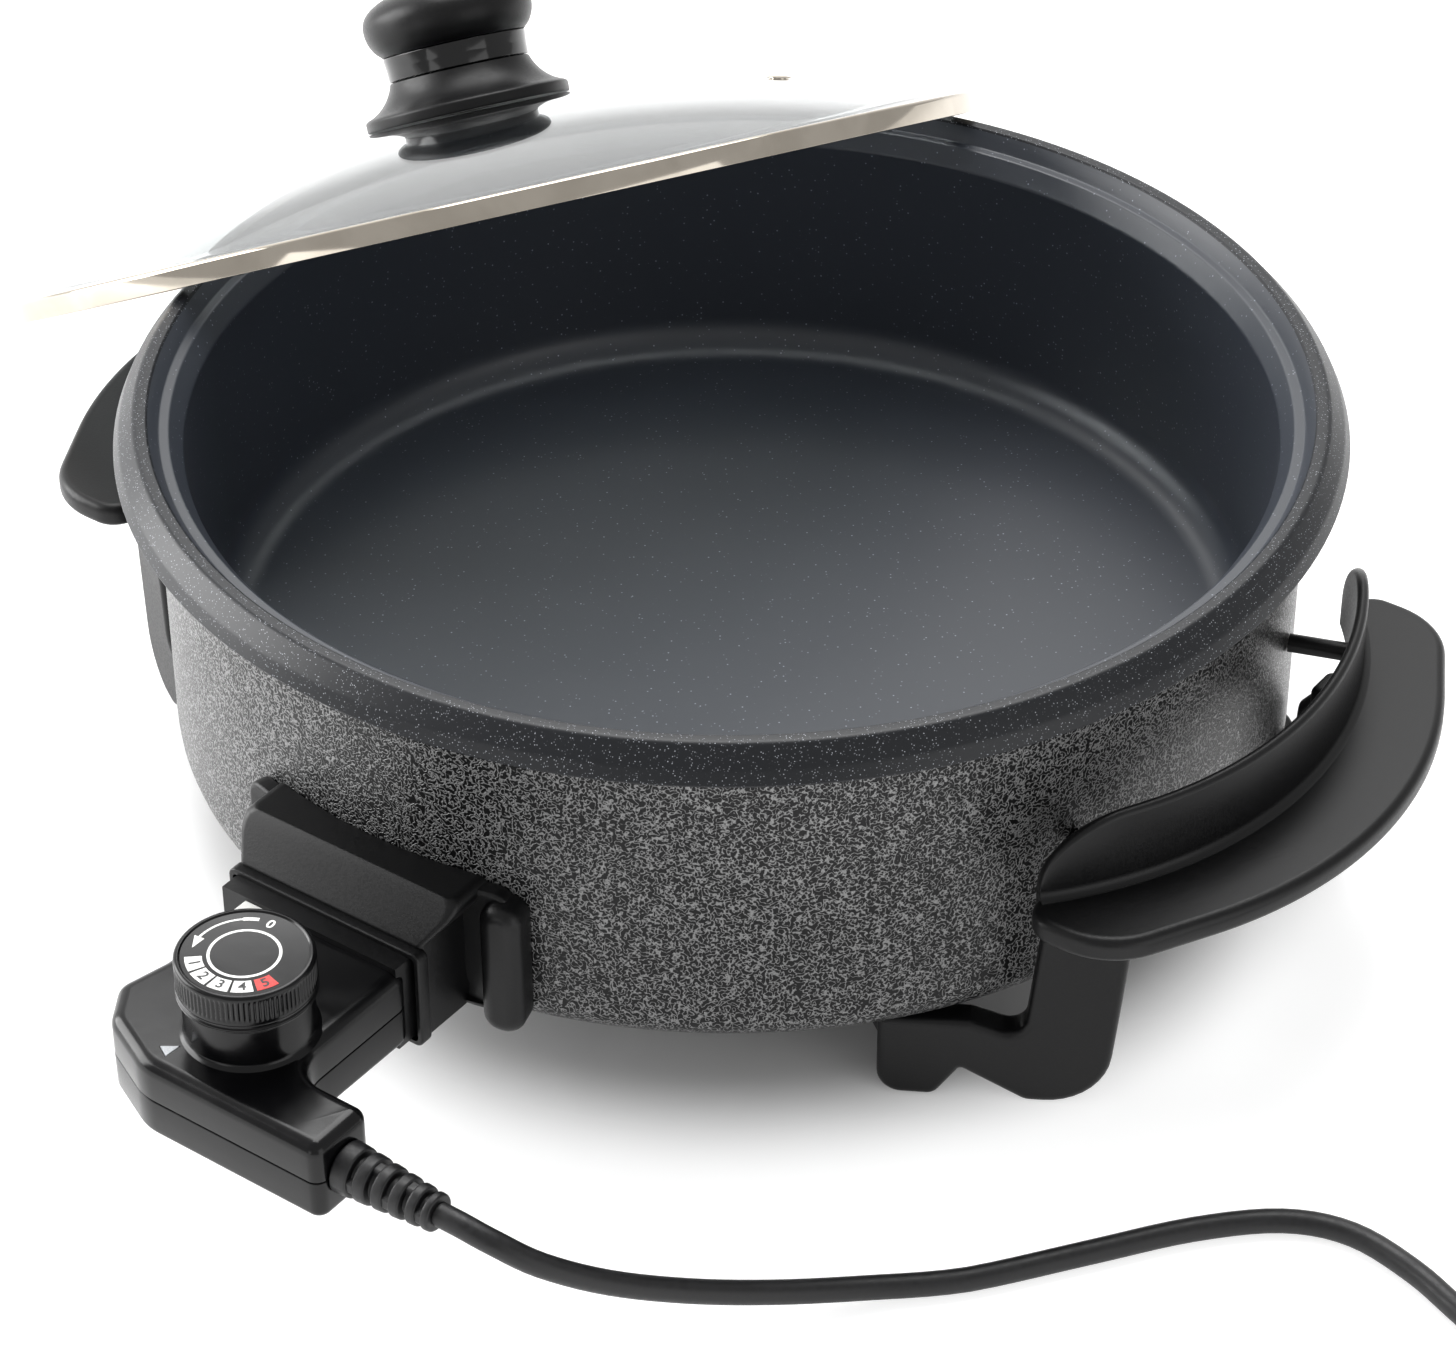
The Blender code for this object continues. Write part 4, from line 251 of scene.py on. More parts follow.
# Unglazed steatite: off-white and dry.
STEATITE = Finish("unglazed_steatite", "#ddd6c6", "#cfc6b3", (0.62, 0.74), 0.8, 0.02)
# Urea moulding of the switch: cream, with a low sheen.
UREA = Finish("cream_urea_moulding", "#d3c39c", "#c3b084", (0.46, 0.56), 1.5, 0.01)
# Glass-fibre sleeving on the leads: rust red and dry.
SLEEVING = Finish("glass_fibre_sleeving", "#7a3324", "#5b2519", (0.6, 0.74), 0.6, 0.03)
# Vulcanised rubber: black, dull, with a faint bloom.
RUBBER = Finish("vulcanised_black_rubber", "#0a0a0b", "#131315", (0.40, 0.52), 1.8, 0.010, "rubber", gloss=0.4)
# Silicone seal: smoke grey and slightly shiny.
SILICONE = Finish("smoke_grey_silicone", "#3a3b3d", "#303133", (0.30, 0.42), 1.5, 0.01, "seal")
# Tempered soda-lime glass: clear and faintly grey, mirror-like where it is seen at a low angle.
GLASS = Finish("clear_tempered_glass", "#d3d6d6", "#cdd1d1", (0.0, 0.015), 40.0, 0.0, "clear_glass", ior=1.55,
               transmission=1.0)
# Milky acrylic lamp window.
OPAL = Finish("opal_acrylic", "#e9e9e6", "#dcdcd8", (0.16, 0.26), 6.0, 0.004, "white_moulding")
# Pad-printed inks of the dial and its pointer: opaque and satin.
WHITE_INK = ink("white", "#eeeeec", "#dededb")
RED_INK = ink("red", "#d2312b", "#bb2823")
BLACK_INK = ink("black", "#161616", "#1d1d1d")
GREY_INK = ink("pale_grey", "#b9bcc0", "#a9acb0", "grey_print")
# Matt white floor: an even painted glow lifts its shadows and fades to a painted shade under the pan.
PAINTED_GLOW_FLOOR = Finish("matt_white_floor_with_painted_glow", "#d2d2d2", "#cecece", (0.80, 0.86), 60.0, 0.0)


# ---- shapes worked out with numpy


def sharp(points: Array) -> Array:
    """Points as corners with no radius."""
    return np.column_stack([points, np.zeros(len(points))])


def rounded(corners: Sequence[Sequence[float]], steps: int = 8, closed: bool = True) -> Array:
    """Round the corners of an outline with arcs tangent to both sides.

    Each arc is swept by spherical interpolation between its two tangent radii.

    Args:
        corners: The outline's corners.
        steps: Segments in each arc.
        closed: Whether the last corner joins the first.

    Returns:
        Points of the rounded outline, one row each.
    """
    table = np.asarray(corners, float)
    points, straight = table[:, :2], math.pi / 2 - 0.002
    rows = []
    share = np.linspace(0.0, 1.0, steps + 1)[:, None]
    for i, (here, radius) in enumerate(zip(points, table[:, 2])):
        half = math.pi / 2
        if radius > 0.0 and (closed or 0 < i < len(points) - 1):
            a, b = points[i - 1] - here, points[(i + 1) % len(points)] - here
            a, b = a / np.linalg.norm(a), b / np.linalg.norm(b)
            half = math.acos(float(np.clip(a @ b, -1.0, 1.0))) / 2
        if half > straight:
            rows.append(here[None])
            continue
        middle = (a + b) / np.linalg.norm(a + b) * radius / math.sin(half)
        first, last = a * radius / math.tan(half) - middle, b * radius / math.tan(half) - middle
        sweep = math.pi - 2 * half
        rows.append(here + middle + (first * np.sin((1 - share) * sweep) + last * np.sin(share * sweep))
                    / math.sin(sweep))
    return np.concatenate(rows)


def polar(radius: Array | float, angle: Array) -> Array:
    """Points at distances from the origin and at angles in radians."""
    return np.stack([radius * np.cos(angle), radius * np.sin(angle)], 1)


def arc(middle: float, radius: float, span: float) -> Array:
    """Points on an arc about (middle, 0) that ends at half widths of span on both sides."""
    sweep = math.degrees(math.asin(span / radius))
    angle = np.radians(np.linspace(-sweep, sweep, 41))
    return np.stack([middle + radius * np.cos(angle), 0.0 + radius * np.sin(angle)], 1)


def resample(line: Array, step: float) -> Array:
    """Add points to a closed outline so that no side is longer than a step."""
    after = np.roll(line, -1, 0)
    counts = np.maximum(1, np.ceil(np.linalg.norm(after - line, axis=1) / step)).astype(int)
    return np.concatenate([a + (b - a) * np.arange(n)[:, None] / n for a, b, n in zip(line, after, counts)])


def outward(line: Array) -> Array:
    """Unit normals of a closed outline: square to the sum of the directions of both sides, pointing out of it."""
    def unit(rows: Array) -> Array:
        """Rows brought to unit length."""
        return rows / np.maximum(np.linalg.norm(rows, axis=1), TINY)[:, None]

    after = np.roll(line, -1, 0)
    along = unit(unit(line - np.roll(line, 1, 0)) + unit(after - line))
    area = np.sum(line[:, 0] * after[:, 1] - after[:, 0] * line[:, 1])
    return np.stack([along[:, 1], -along[:, 0]], 1) * (1.0 if area > 0 else -1.0)


@dataclass
class Skin:
    """A closed surface: points in metres on the pan's axis, and its faces."""

    points: Array
    faces: list

    def moved(self, change: Callable[[Array], Array]) -> "Skin":
        """The same surface with every point changed."""
        return Skin(change(self.points), self.faces)

    def turned(self, matrix: Matrix) -> "Skin":
        """The same surface moved by a matrix."""
        m = np.array(matrix)
        return Skin(self.points @ m[:3, :3].T + m[:3, 3], self.faces)

    def __add__(self, other: "Skin") -> "Skin":
        """Both surfaces as one piece."""
        start = len(self.points)
        return Skin(np.concatenate([self.points, other.points]),
                    self.faces + [tuple(i + start for i in face) for face in other.faces])


NOTHING = Skin(np.empty((0, 3)), [])


def lattice(points: Array, close_u: bool, close_v: bool, caps: bool) -> Skin:
    """Join a grid of points by quadrilaterals.

    Args:
        points: Grid of rows, columns and coordinates.
        close_u: Whether the last row joins the first.
        close_v: Whether the last column joins the first.
        caps: Whether the first and last rows are closed by one face each.

    Returns:
        The surface.
    """
    m, n = points.shape[:2]
    a, b = np.meshgrid(np.arange(m if close_u else m - 1), np.arange(n if close_v else n - 1), indexing="ij")
    c, d = (a + 1) % m, (b + 1) % n
    quads = np.stack([a * n + b, a * n + d, c * n + d, c * n + b], -1).reshape(-1, 4)
    faces = [tuple(q) for q in quads.tolist()]
    if caps:
        faces += [tuple(range(n)), tuple(range((m - 1) * n, m * n))]
    return Skin(points.reshape(-1, 3), faces)


def revolve(profile: Array, segments: int = ROUND, ripple: Optional[Callable[[Array, Array], Array]] = None) -> Skin:
    """Turn a profile about the upright axis: x = r cos a, y = r sin a, z = z.

    Args:
        profile: Radius and height of each point, from one end on the axis to the other, or a closed loop.
        segments: Steps round the axis.
        ripple: Optional change of the radii, from the profile's points and the angles.

    Returns:
        The surface.
    """
    profile = np.asarray(profile, float)
    loop = bool(profile[0, 0] > 0 or profile[-1, 0] > 0)
    angle = np.linspace(0, 2 * np.pi, segments, endpoint=False)
    radius = np.repeat(profile[:, :1], segments, 1)
    if ripple is not None:
        radius = ripple(profile, angle) * (radius > 0)
    grid = np.stack([radius * np.cos(angle), radius * np.sin(angle), np.repeat(profile[:, 1:], segments, 1)], -1)
    return lattice(grid, loop, True, False)


def rod(radius: float, low: float, high: float, segments: int) -> Skin:
    """A plain round rod on the upright axis."""
    return revolve(np.array([(0, low), (radius, low), (radius, high), (0, high)]), segments)


def plate(line: Array, low: float, high: float, top: float, bottom: Optional[float] = None, steps: int = 5) -> Skin:
    """Give an outline thickness, with a quarter round at its upper and lower edges.

    At height z the outline is drawn in along its normals by r(1 - cos t), where z is r(1 - sin t) from the face,
    but at no point by more than the largest circle inside the outline that touches it there. Each face starts with
    a narrow flat ring.

    Args:
        line: Closed outline.
        low: Height of the lower face.
        high: Height of the upper face.
        top: Radius of the upper edge.
        bottom: Radius of the lower edge, the same as the upper one if left out.
        steps: Steps in each quarter round.

    Returns:
        The surface, with a flat face at each end.
    """
    flat_ring = 0.0003
    bottom = top if bottom is None else bottom
    t = np.linspace(0, np.pi / 2, steps + 1)
    inset = np.concatenate([[bottom + flat_ring], bottom * (1 - np.sin(t)), top * (1 - np.cos(t)), [top + flat_ring]])
    height = np.concatenate([[low], low + bottom * (1 - np.cos(t)), high - top * (1 - np.sin(t)), [high]])
    normal = outward(line)
    away = line[None] - line[:, None]
    depth = -np.sum(away * normal[:, None], -1)
    room = np.where(depth > TINY, np.sum(away ** 2, -1) / np.maximum(2 * depth, TINY), 1.0).min(1)
    flat = line[None] - normal[None] * np.minimum(inset[:, None], 0.95 * room[None])[..., None]
    grid = np.concatenate([flat, np.repeat(height[:, None, None], len(line), 1)], -1)
    return lattice(grid, False, True, True)


def oblong(x: float, y: float, width: float, depth: float, corner: float, steps: int = 6) -> Array:
    """Outline of a rectangle with round corners about a middle."""
    w, d = width / 2, depth / 2
    return rounded([(x - w, y - d, corner), (x + w, y - d, corner), (x + w, y + d, corner), (x - w, y + d, corner)],
                   steps)


def axes(first: Sequence[float], second: Sequence[float], third: Sequence[float],
         origin: Sequence[float] = (0.0, 0.0, 0.0)) -> Matrix:
    """A matrix from its three columns and its origin."""
    columns = [Vector(v) for v in (first, second, third)]
    rows = [[c[i] for c in columns] + [origin[i]] for i in range(3)]
    return Matrix(rows + [[0, 0, 0, 1]])


def facing(origin: Sequence[float] = (0.0, 0.0, 0.0)) -> Matrix:
    """The matrix of an upright sheet that faces the front: x right, y up and z forward."""
    return axes((1, 0, 0), (0, 0, 1), (0, -1, 0), origin)


def bent(radius: float) -> Callable[[Array], Array]:
    """Wrap a flat panel round the shell's front.

    A point (s, z, d) goes to azimuth s / R from -Y, height z and distance R + d from the axis.
    """
    def change(p: Array) -> Array:
        """Move points (s, z, d) on to the cylinder."""
        a, r = p[:, 0] / radius, radius + p[:, 2]
        return np.stack([r * np.sin(a), -r * np.cos(a), p[:, 1]], 1)
    return change


# ---- pieces of the scene


def add_object(name: str, data: bpy.types.ID) -> bpy.types.Object:
    """Put a new object into the scene."""
    item = bpy.data.objects.new(name, data)
    bpy.context.scene.collection.objects.link(item)
    return item


def worked_out(item: bpy.types.Object) -> bpy.types.Mesh:
    """A new mesh of an object with its modifiers or its letters worked out."""
    bpy.context.view_layer.update()
    return bpy.data.meshes.new_from_object(item.evaluated_get(bpy.context.evaluated_depsgraph_get()))


def shade(data: bpy.types.Mesh, smooth: float) -> None:
    """Shade a mesh smooth, except across edges above an angle in degrees."""
    data.shade_smooth()
    data.set_sharp_from_angle(angle=math.radians(smooth))


def new_mesh(name: str, skin: Skin, smooth: float) -> bpy.types.Mesh:
    """Put a surface into a mesh at the frame's origin, with its poles closed and its faces outward.

    Args:
        name: The mesh's name.
        skin: The surface on the pan's axis.
        smooth: Angle in degrees above which an edge stays sharp.

    Returns:
        The mesh.
    """
    data = bpy.data.meshes.new(name)
    data.from_pydata(skin.points + AXIS, [], skin.faces)
    work = bmesh.new()
    work.from_mesh(data)
    bmesh.ops.remove_doubles(work, verts=work.verts, dist=1e-7)
    bmesh.ops.dissolve_degenerate(work, edges=work.edges, dist=1e-8)
    bmesh.ops.recalc_face_normals(work, faces=work.faces)
    work.to_mesh(data)
    work.free()
    shade(data, smooth)
    return data


class Assembly:
    """A sub-assembly, all on one body of the frame."""

    body: ClassVar[str] = "base"

    def dress(self, piece: bpy.types.Object, finish: Finish, replaces: Sequence[str] = ()) -> bpy.types.Object:
        """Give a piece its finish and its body.

        Args:
            piece: The piece.
            finish: Its finish.
            replaces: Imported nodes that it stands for.

        Returns:
            The piece.
        """
        piece.data.materials.clear()
        piece.data.materials.append(finish.material())
        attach(piece, self.body)
        if replaces:
            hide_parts(*replaces)
        log.info("%s on %s, in %s", piece.name, self.body, finish.name)
        return piece

    def show(self, name: str, skin: Skin, finish: Finish, *replaces: str, smooth: float = 40.0,
             cutters: Sequence[Skin] = ()) -> bpy.types.Object:
        """Make a finished piece of a surface.

        Args:
            name: The piece's name.
            skin: The surface on the pan's axis.
            finish: Its finish.
            replaces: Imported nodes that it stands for.
            smooth: Angle in degrees above which an edge stays sharp.
            cutters: Surfaces that are cut out of it.

        Returns:
            The piece.
        """
        piece = add_object(name, new_mesh(name, skin, smooth))
        for cutter in cutters:
            tool = add_object("cutter", new_mesh("cutter", cutter, smooth))
            step = piece.modifiers.new("cut", "BOOLEAN")
            step.operation = "DIFFERENCE"
            step.solver = "EXACT"
            step.object = tool
            cut = worked_out(piece)
            piece.modifiers.clear()
            piece.data = cut
            bpy.data.objects.remove(tool, do_unlink=True)
        if cutters:
            shade(piece.data, smooth)
        return self.dress(piece, finish, replaces)


# ---- pan and shell


@dataclass
class PanBody(Assembly):
    """Cast pan with its rounded rim, and the enamelled shell that hangs under its lip."""

    lip: float = 0.2100
    lip_height: float = 0.1500
    crest: float = 0.1615
    brink: Pair = (0.1977, 0.1608)
    floor: float = 0.0615
    underside: float = 0.0565
    wall_outside: float = 0.1904
    stub: Pair = (0.0130, 0.0353)
    shell: float = 0.1965
    shell_low: float = 0.0335
    shell_wall: float = 0.0015
    coat_edges: Triple = (0.1976, 0.1868, 0.1470)

    def inside(self) -> Array:
        """Profile of the cooking surface, from the floor's middle to the ledge under the lid."""
        return rounded([(0, self.floor, 0), (0.1834, self.floor, 0.014), (0.1864, 0.149, 0.003),
                        (0.191, 0.1555, 0.0012), (0.1944, 0.1555, 0.001), (*self.brink, 0)], 10, closed=False)

    def outside(self) -> Array:
        """Profile of the rim and the underside, from the ledge to the stub in the middle that takes the bolt."""
        stub, low = self.stub
        return rounded([(*self.brink, 0), (0.1985, self.crest, 0.0007), (0.2025, self.crest, 0.0028),
                        (0.2080, 0.1550, 0.006), (self.lip, self.lip_height + 0.0006, 0.0004),
                        (self.lip, self.lip_height, 0.0003), (self.wall_outside, self.lip_height, 0),
                        (self.wall_outside, 0.146, 0), (0.1874, self.underside, 0.016),
                        (stub, self.underside, 0.001), (stub, low, 0.001), (0, low, 0)], 7, closed=False)

    def coat_rim(self, mesh: bpy.types.Mesh) -> None:
        """Give the rim's coat to all faces outside the brink, behind the wall or under the floor."""
        centre = np.empty(len(mesh.polygons) * 3)
        mesh.polygons.foreach_get("center", centre)
        x, y, z = (centre.reshape(-1, 3) - AXIS).T
        radius = np.hypot(x, y)
        outside, behind, below = self.coat_edges
        rim = (radius > outside) | ((z < below) & (radius > behind)) | (z < self.floor - 0.0015)
        mesh.materials.append(RIM_COAT.material())
        mesh.polygons.foreach_set("material_index", rim.astype(np.int32))

    def build(self) -> None:
        """Make the pan with its two coats, and the shell."""
        whole = revolve(np.concatenate([self.inside(), self.outside()[1:]]))
        self.coat_rim(self.show("cast_pan", whole, NONSTICK, "inner_pan").data)
        low, top, wall = self.shell_low, self.lip_height - 0.0003, self.shell_wall
        inner, edge = self.shell - wall, 0.0002
        profile = rounded([(0, low + wall, 0), (inner, low + wall, 0.0105), (inner, top, edge),
                           (self.shell, top, edge), (self.shell, low, 0.012), (0, low, 0)], closed=False)
        self.show("enamelled_shell", revolve(profile), HAMMERED, "outer_shell")


# ---- grips


@dataclass
class Grip(Assembly):
    """Moulded grip: curved plate, upright guard, bosses and two legs in one piece."""

    top: float = 0.0920
    thickness: float = 0.0085
    arc_middle: float = 0.1041
    arc_radius: float = 0.1558
    arc_span: float = 0.0740
    shoulder: float = 0.2224
    span: float = 0.1088
    guard_radius: float = 0.1500
    guard_reach: float = 0.2290
    guard_wall: float = 0.0040
    guard_top: float = 0.1200
    guard_span: float = 0.0980
    guard_corner: float = 0.0240
    guard_foot: float = 0.0035
    screw_turn: float = math.asin(0.335878)
    boss: Triple = (0.0120, 0.0140, 0.0140)
    boss_at: Pair = (0.2135, 0.0470)
    sleeve: float = 0.0032
    shell_radius: float = 0.1968
    toe: Pair = (0.1505, 0.1077)
    leg_distance: float = 0.1740
    leg_thickness: float = 0.0110
    leg_turn: float = 30.0
    leg: tuple = ((0.1735, 0.0878, 0), (0.1735, 0.0837, 0), (0.1478, 0.0837, 0.0225), (0.1400, 0.0, 0.0220),
                  (0.1140, 0.0, 0.0070), (0.0926, 0.0122, 0.0012), (0.0843, 0.0, 0.0050), (0.0652, 0.0, 0.0084),
                  (0.0652, 0.0322, 0.002), (0.0955, 0.0322, 0.003), (0.1128, 0.0264, 0.0060))
    front_corner: tuple = ((0.1192, 0.0878, 0),)
    back_corner: tuple = ((0.1157, 0.0550, 0.0080), (0.1400, 0.0837, 0), (0.1400, 0.0878, 0))

    def __post_init__(self) -> None:
        """Work out the guard's middle circle."""
        self.middle = self.guard_radius - self.guard_wall / 2
        self.centre = self.guard_reach - self.guard_radius

    def plate_outline(self) -> Array:
        """Outline of the plate: an outer arc, a straight shoulder at each end, and the guard's middle inside."""
        outer = arc(self.arc_middle, self.arc_radius, self.arc_span)
        inner = arc(self.centre, self.middle, self.guard_span)[::-1]
        edge, inner_round, outer_round = inner[0][0], 0.0104, 0.0280
        corners = np.concatenate([
            [(edge, -self.span, inner_round), (self.shoulder, -self.span, outer_round)], sharp(outer),
            [(self.shoulder, self.span, outer_round), (edge, self.span, inner_round)], sharp(inner)])
        return resample(rounded(corners, 9), 0.004)

    def guard(self) -> Skin:
        """The upright guard: a rounded section carried along an arc, lower towards both ends.

        The height is the top less the drop of a corner circle over the last stretch of the span. A concave quarter
        round joins its outer foot to the plate.
        """
        angle = math.asin(self.guard_span / self.middle) * np.sin(np.linspace(-np.pi / 2, np.pi / 2, 90))
        y = np.abs(self.middle * np.sin(angle))
        corner, foot, half = self.guard_corner, self.guard_foot, self.guard_wall / 2
        over = np.clip(y - (self.guard_span - corner), 0, corner * 0.999)
        top = self.guard_top - (corner - np.sqrt(corner ** 2 - over ** 2))
        t = np.linspace(-np.pi / 2, np.pi / 2, 9)
        v = np.linspace(0, np.pi / 2, 7)
        offset = np.concatenate([[-half], half * np.sin(t), half + foot * (1 - np.cos(v)), [half + foot]])
        crown = top[:, None] - half + half * np.cos(t)[None]
        low = self.top - self.thickness
        fixed = np.concatenate([self.top + foot * (1 - np.sin(v)) - 0.0001, [low]])
        side = np.ones((len(angle), 1))
        height = np.concatenate([side * low, crown, side * fixed[None]], 1)
        r = self.middle + np.repeat(offset[None], len(angle), 0)
        grid = np.stack([self.centre + r * np.cos(angle)[:, None], r * np.sin(angle)[:, None], height], -1)
        return lattice(grid, False, True, True)

    def one_leg(self, side: float) -> Skin:
        """One leg, square to the slanted plane it stands in.

        Args:
            side: -1 at the front, 1 at the back.

        Returns:
            The leg's surface.
        """
        outline = rounded(self.leg + (self.front_corner if side < 0 else self.back_corner), 9)
        skin = plate(resample(outline, 0.003), -self.leg_thickness, 0.0, 0.0026, 0.0018)
        angle = math.radians(self.leg_turn)
        run = (math.cos(angle), -side * math.sin(angle), 0.0)
        face = Vector((math.sin(angle), side * math.cos(angle), 0.0))
        return skin.turned(axes(run, (0, 0, 1), face, face * self.leg_distance))

    def fittings(self) -> Skin:
        """Bosses inside the guard, sleeves round its screws, and the shoes that the legs are screwed on by."""
        skin = NOTHING
        wide, deep, high = self.boss
        x, away = self.boss_at
        for side in (-1.0, 1.0):
            boss = plate(resample(oblong(x, side * away, wide, deep, 0.003), 0.002), self.top - 0.008,
                         self.top - 0.008 + high, 0.0025)
            along = Vector((math.cos(self.screw_turn), side * math.sin(self.screw_turn), 0.0))
            sleeve = rod(self.sleeve, self.shell_radius, 0.2195, 32)
            toe = Vector((self.toe[0], self.toe[1] * side, 0.0))
            inward = -toe.normalized()
            shoe = plate(oblong(0.0, 0.015, 0.020, 0.030, 0.003), 0.0202, 0.0332, 0.0008)
            skin = skin + boss.moved(self.between) \
                + sleeve.turned(axes((-along.y, along.x, 0), (0, 0, 1), along, (0, 0, self.top))) \
                + shoe.turned(axes((-inward.y, inward.x, 0), inward, (0, 0, 1), toe))
        return skin

    def between(self, p: Array) -> Array:
        """Keep points between the shell and the middle of the guard's wall."""
        near = np.sqrt(self.shell_radius ** 2 - p[:, 1] ** 2)
        far = self.centre + np.sqrt(self.middle ** 2 - p[:, 1] ** 2)
        return np.stack([np.clip(p[:, 0], near, far), p[:, 1], p[:, 2]], 1)

    def build(self) -> None:
        """Make the right grip, and the left one as the same piece turned half round."""
        deck = plate(self.plate_outline(), self.top - self.thickness, self.top, 0.0032, 0.0026, 6)
        whole = deck + self.guard() + self.one_leg(-1.0) + self.one_leg(1.0) + self.fittings()
        self.show("grip_right", whole, PHENOLIC, "handle_right")
        self.show("grip_left", whole.turned(Matrix.Rotation(math.pi, 4, "Z")), PHENOLIC, "handle_left")


# ---- socket guard


@dataclass
class SocketGuard(Assembly):
    """Moulded guard round the socket: sloping hood, mouth frame, curved flange and two ears."""

    mouth: float = 0.2230
    face: float = 0.2196
    half_width: float = 0.0377
    top_half_width: float = 0.0478
    low: float = 0.0413
    brow: float = 0.0786
    ledge: float = 0.0920
    ledge_reach: float = 0.2078
    corner: float = 0.0078
    back: float = -0.1900
    mouth_height: float = 0.05885
    wall_radius: float = 0.1968
    pins: tuple = ((-0.014, 0.0035), (0.014, 0.0035), (0.0, 0.0045))
    pin_height: float = 0.0522
    plan_round: Pair = (0.0020, 0.0015)
    draft: float = 0.02
    ears: Pair = (-0.0512, 0.0512)

    def hood(self) -> Skin:
        """The hood: a plan outline with round corners at each height.

        Its reach follows the side profile, and its half width is w0 + (w1 - w0) u above the brow, where u runs from
        0 to 1 up to the ledge, less the drop of a corner circle near the top.
        """
        side = rounded([(self.face - 0.0010, self.low, 0), (self.face, self.low + 0.0010, 0.0006),
                        (self.face, self.brow, 0.0012), (self.ledge_reach, self.ledge, 0.0010),
                        (self.ledge_reach - 0.0012, self.ledge, 0)], 6, closed=False)
        rows = [a + (b - a) * np.linspace(0, 1, 9)[:-1, None] if np.linalg.norm(b - a) > 0.004 else a[None]
                for a, b in zip(side[:-1], side[1:])]
        side = np.concatenate(rows + [side[-1:]])
        reach, z = side[:, :1], side[:, 1:]
        flare = np.clip((z - self.brow) / (self.ledge - self.brow), 0, 1)
        over = np.clip(z - (self.ledge - self.corner), 0, self.corner)
        wide = self.half_width + (self.top_half_width - self.half_width) * flare
        wide = wide - (self.corner - np.sqrt(self.corner ** 2 - over ** 2))
        wide = wide + np.minimum(reach - self.face, 0) * self.draft
        turn = np.linspace(0, np.pi / 2, 8)[None]
        r = self.plan_round[0] + self.plan_round[1] * flare
        x, y = wide - r + r * np.cos(turn), r - reach - r * np.sin(turn)
        back = np.full_like(z, self.back)
        plan_x = np.concatenate([-wide, -x, x[:, ::-1], wide], 1)
        plan_y = np.concatenate([back, y, y[:, ::-1], back], 1)
        return lattice(np.stack([plan_x, plan_y, np.repeat(z, plan_x.shape[1], 1)], -1), False, True, True)

    def flange(self) -> Skin:
        """The curved flange and its ears, wrapped round the shell."""
        band = plate(resample(oblong(0.0, 0.0658, 0.107, 0.0490, 0.006), 0.004), 0.0, 0.0058, 0.0016, 0.0002)
        skin = band.moved(bent(self.wall_radius))
        for s in self.ears:
            ear = plate(resample(oblong(s, 0.0625, 0.0140, 0.0510, 0.0065), 0.003), 0.0, 0.0112, 0.0048, 0.0002, 7)
            skin = skin + ear.moved(bent(self.wall_radius))
        return skin

    def build(self) -> None:
        """Make the guard with its socket cut out, and trim it to the shell."""
        beyond = 0.2300
        pocket = plate(oblong(0.0, 0.0595, 0.072, 0.033, 0.0006, 2), 0.2026, beyond, 0.0, steps=1).turned(facing())
        mouth = plate(oblong(0.0, self.mouth_height, 0.0754, 0.0341, 0.0016, 3), 0.2203, beyond, 0.0, steps=1)
        shell = rod(self.wall_radius, 0.0, 0.2, 288)
        holes = [rod(r, 0.19, 0.21, 24).turned(facing((x, 0, self.pin_height))) for x, r in self.pins]
        self.show("socket_guard_moulding", self.hood(), PHENOLIC, "socket_guard", cutters=[pocket, shell] + holes)
        lip = plate(resample(oblong(0.0, self.mouth_height, 0.0790, 0.0377, 0.0030), 0.004), 0.2180, self.mouth,
                    0.0007, steps=4)
        self.show("socket_mouth_frame", lip.turned(facing()), PHENOLIC, cutters=[pocket, mouth.turned(facing())])
        self.show("socket_flange", self.flange(), PHENOLIC, cutters=[pocket])


# ---- lid


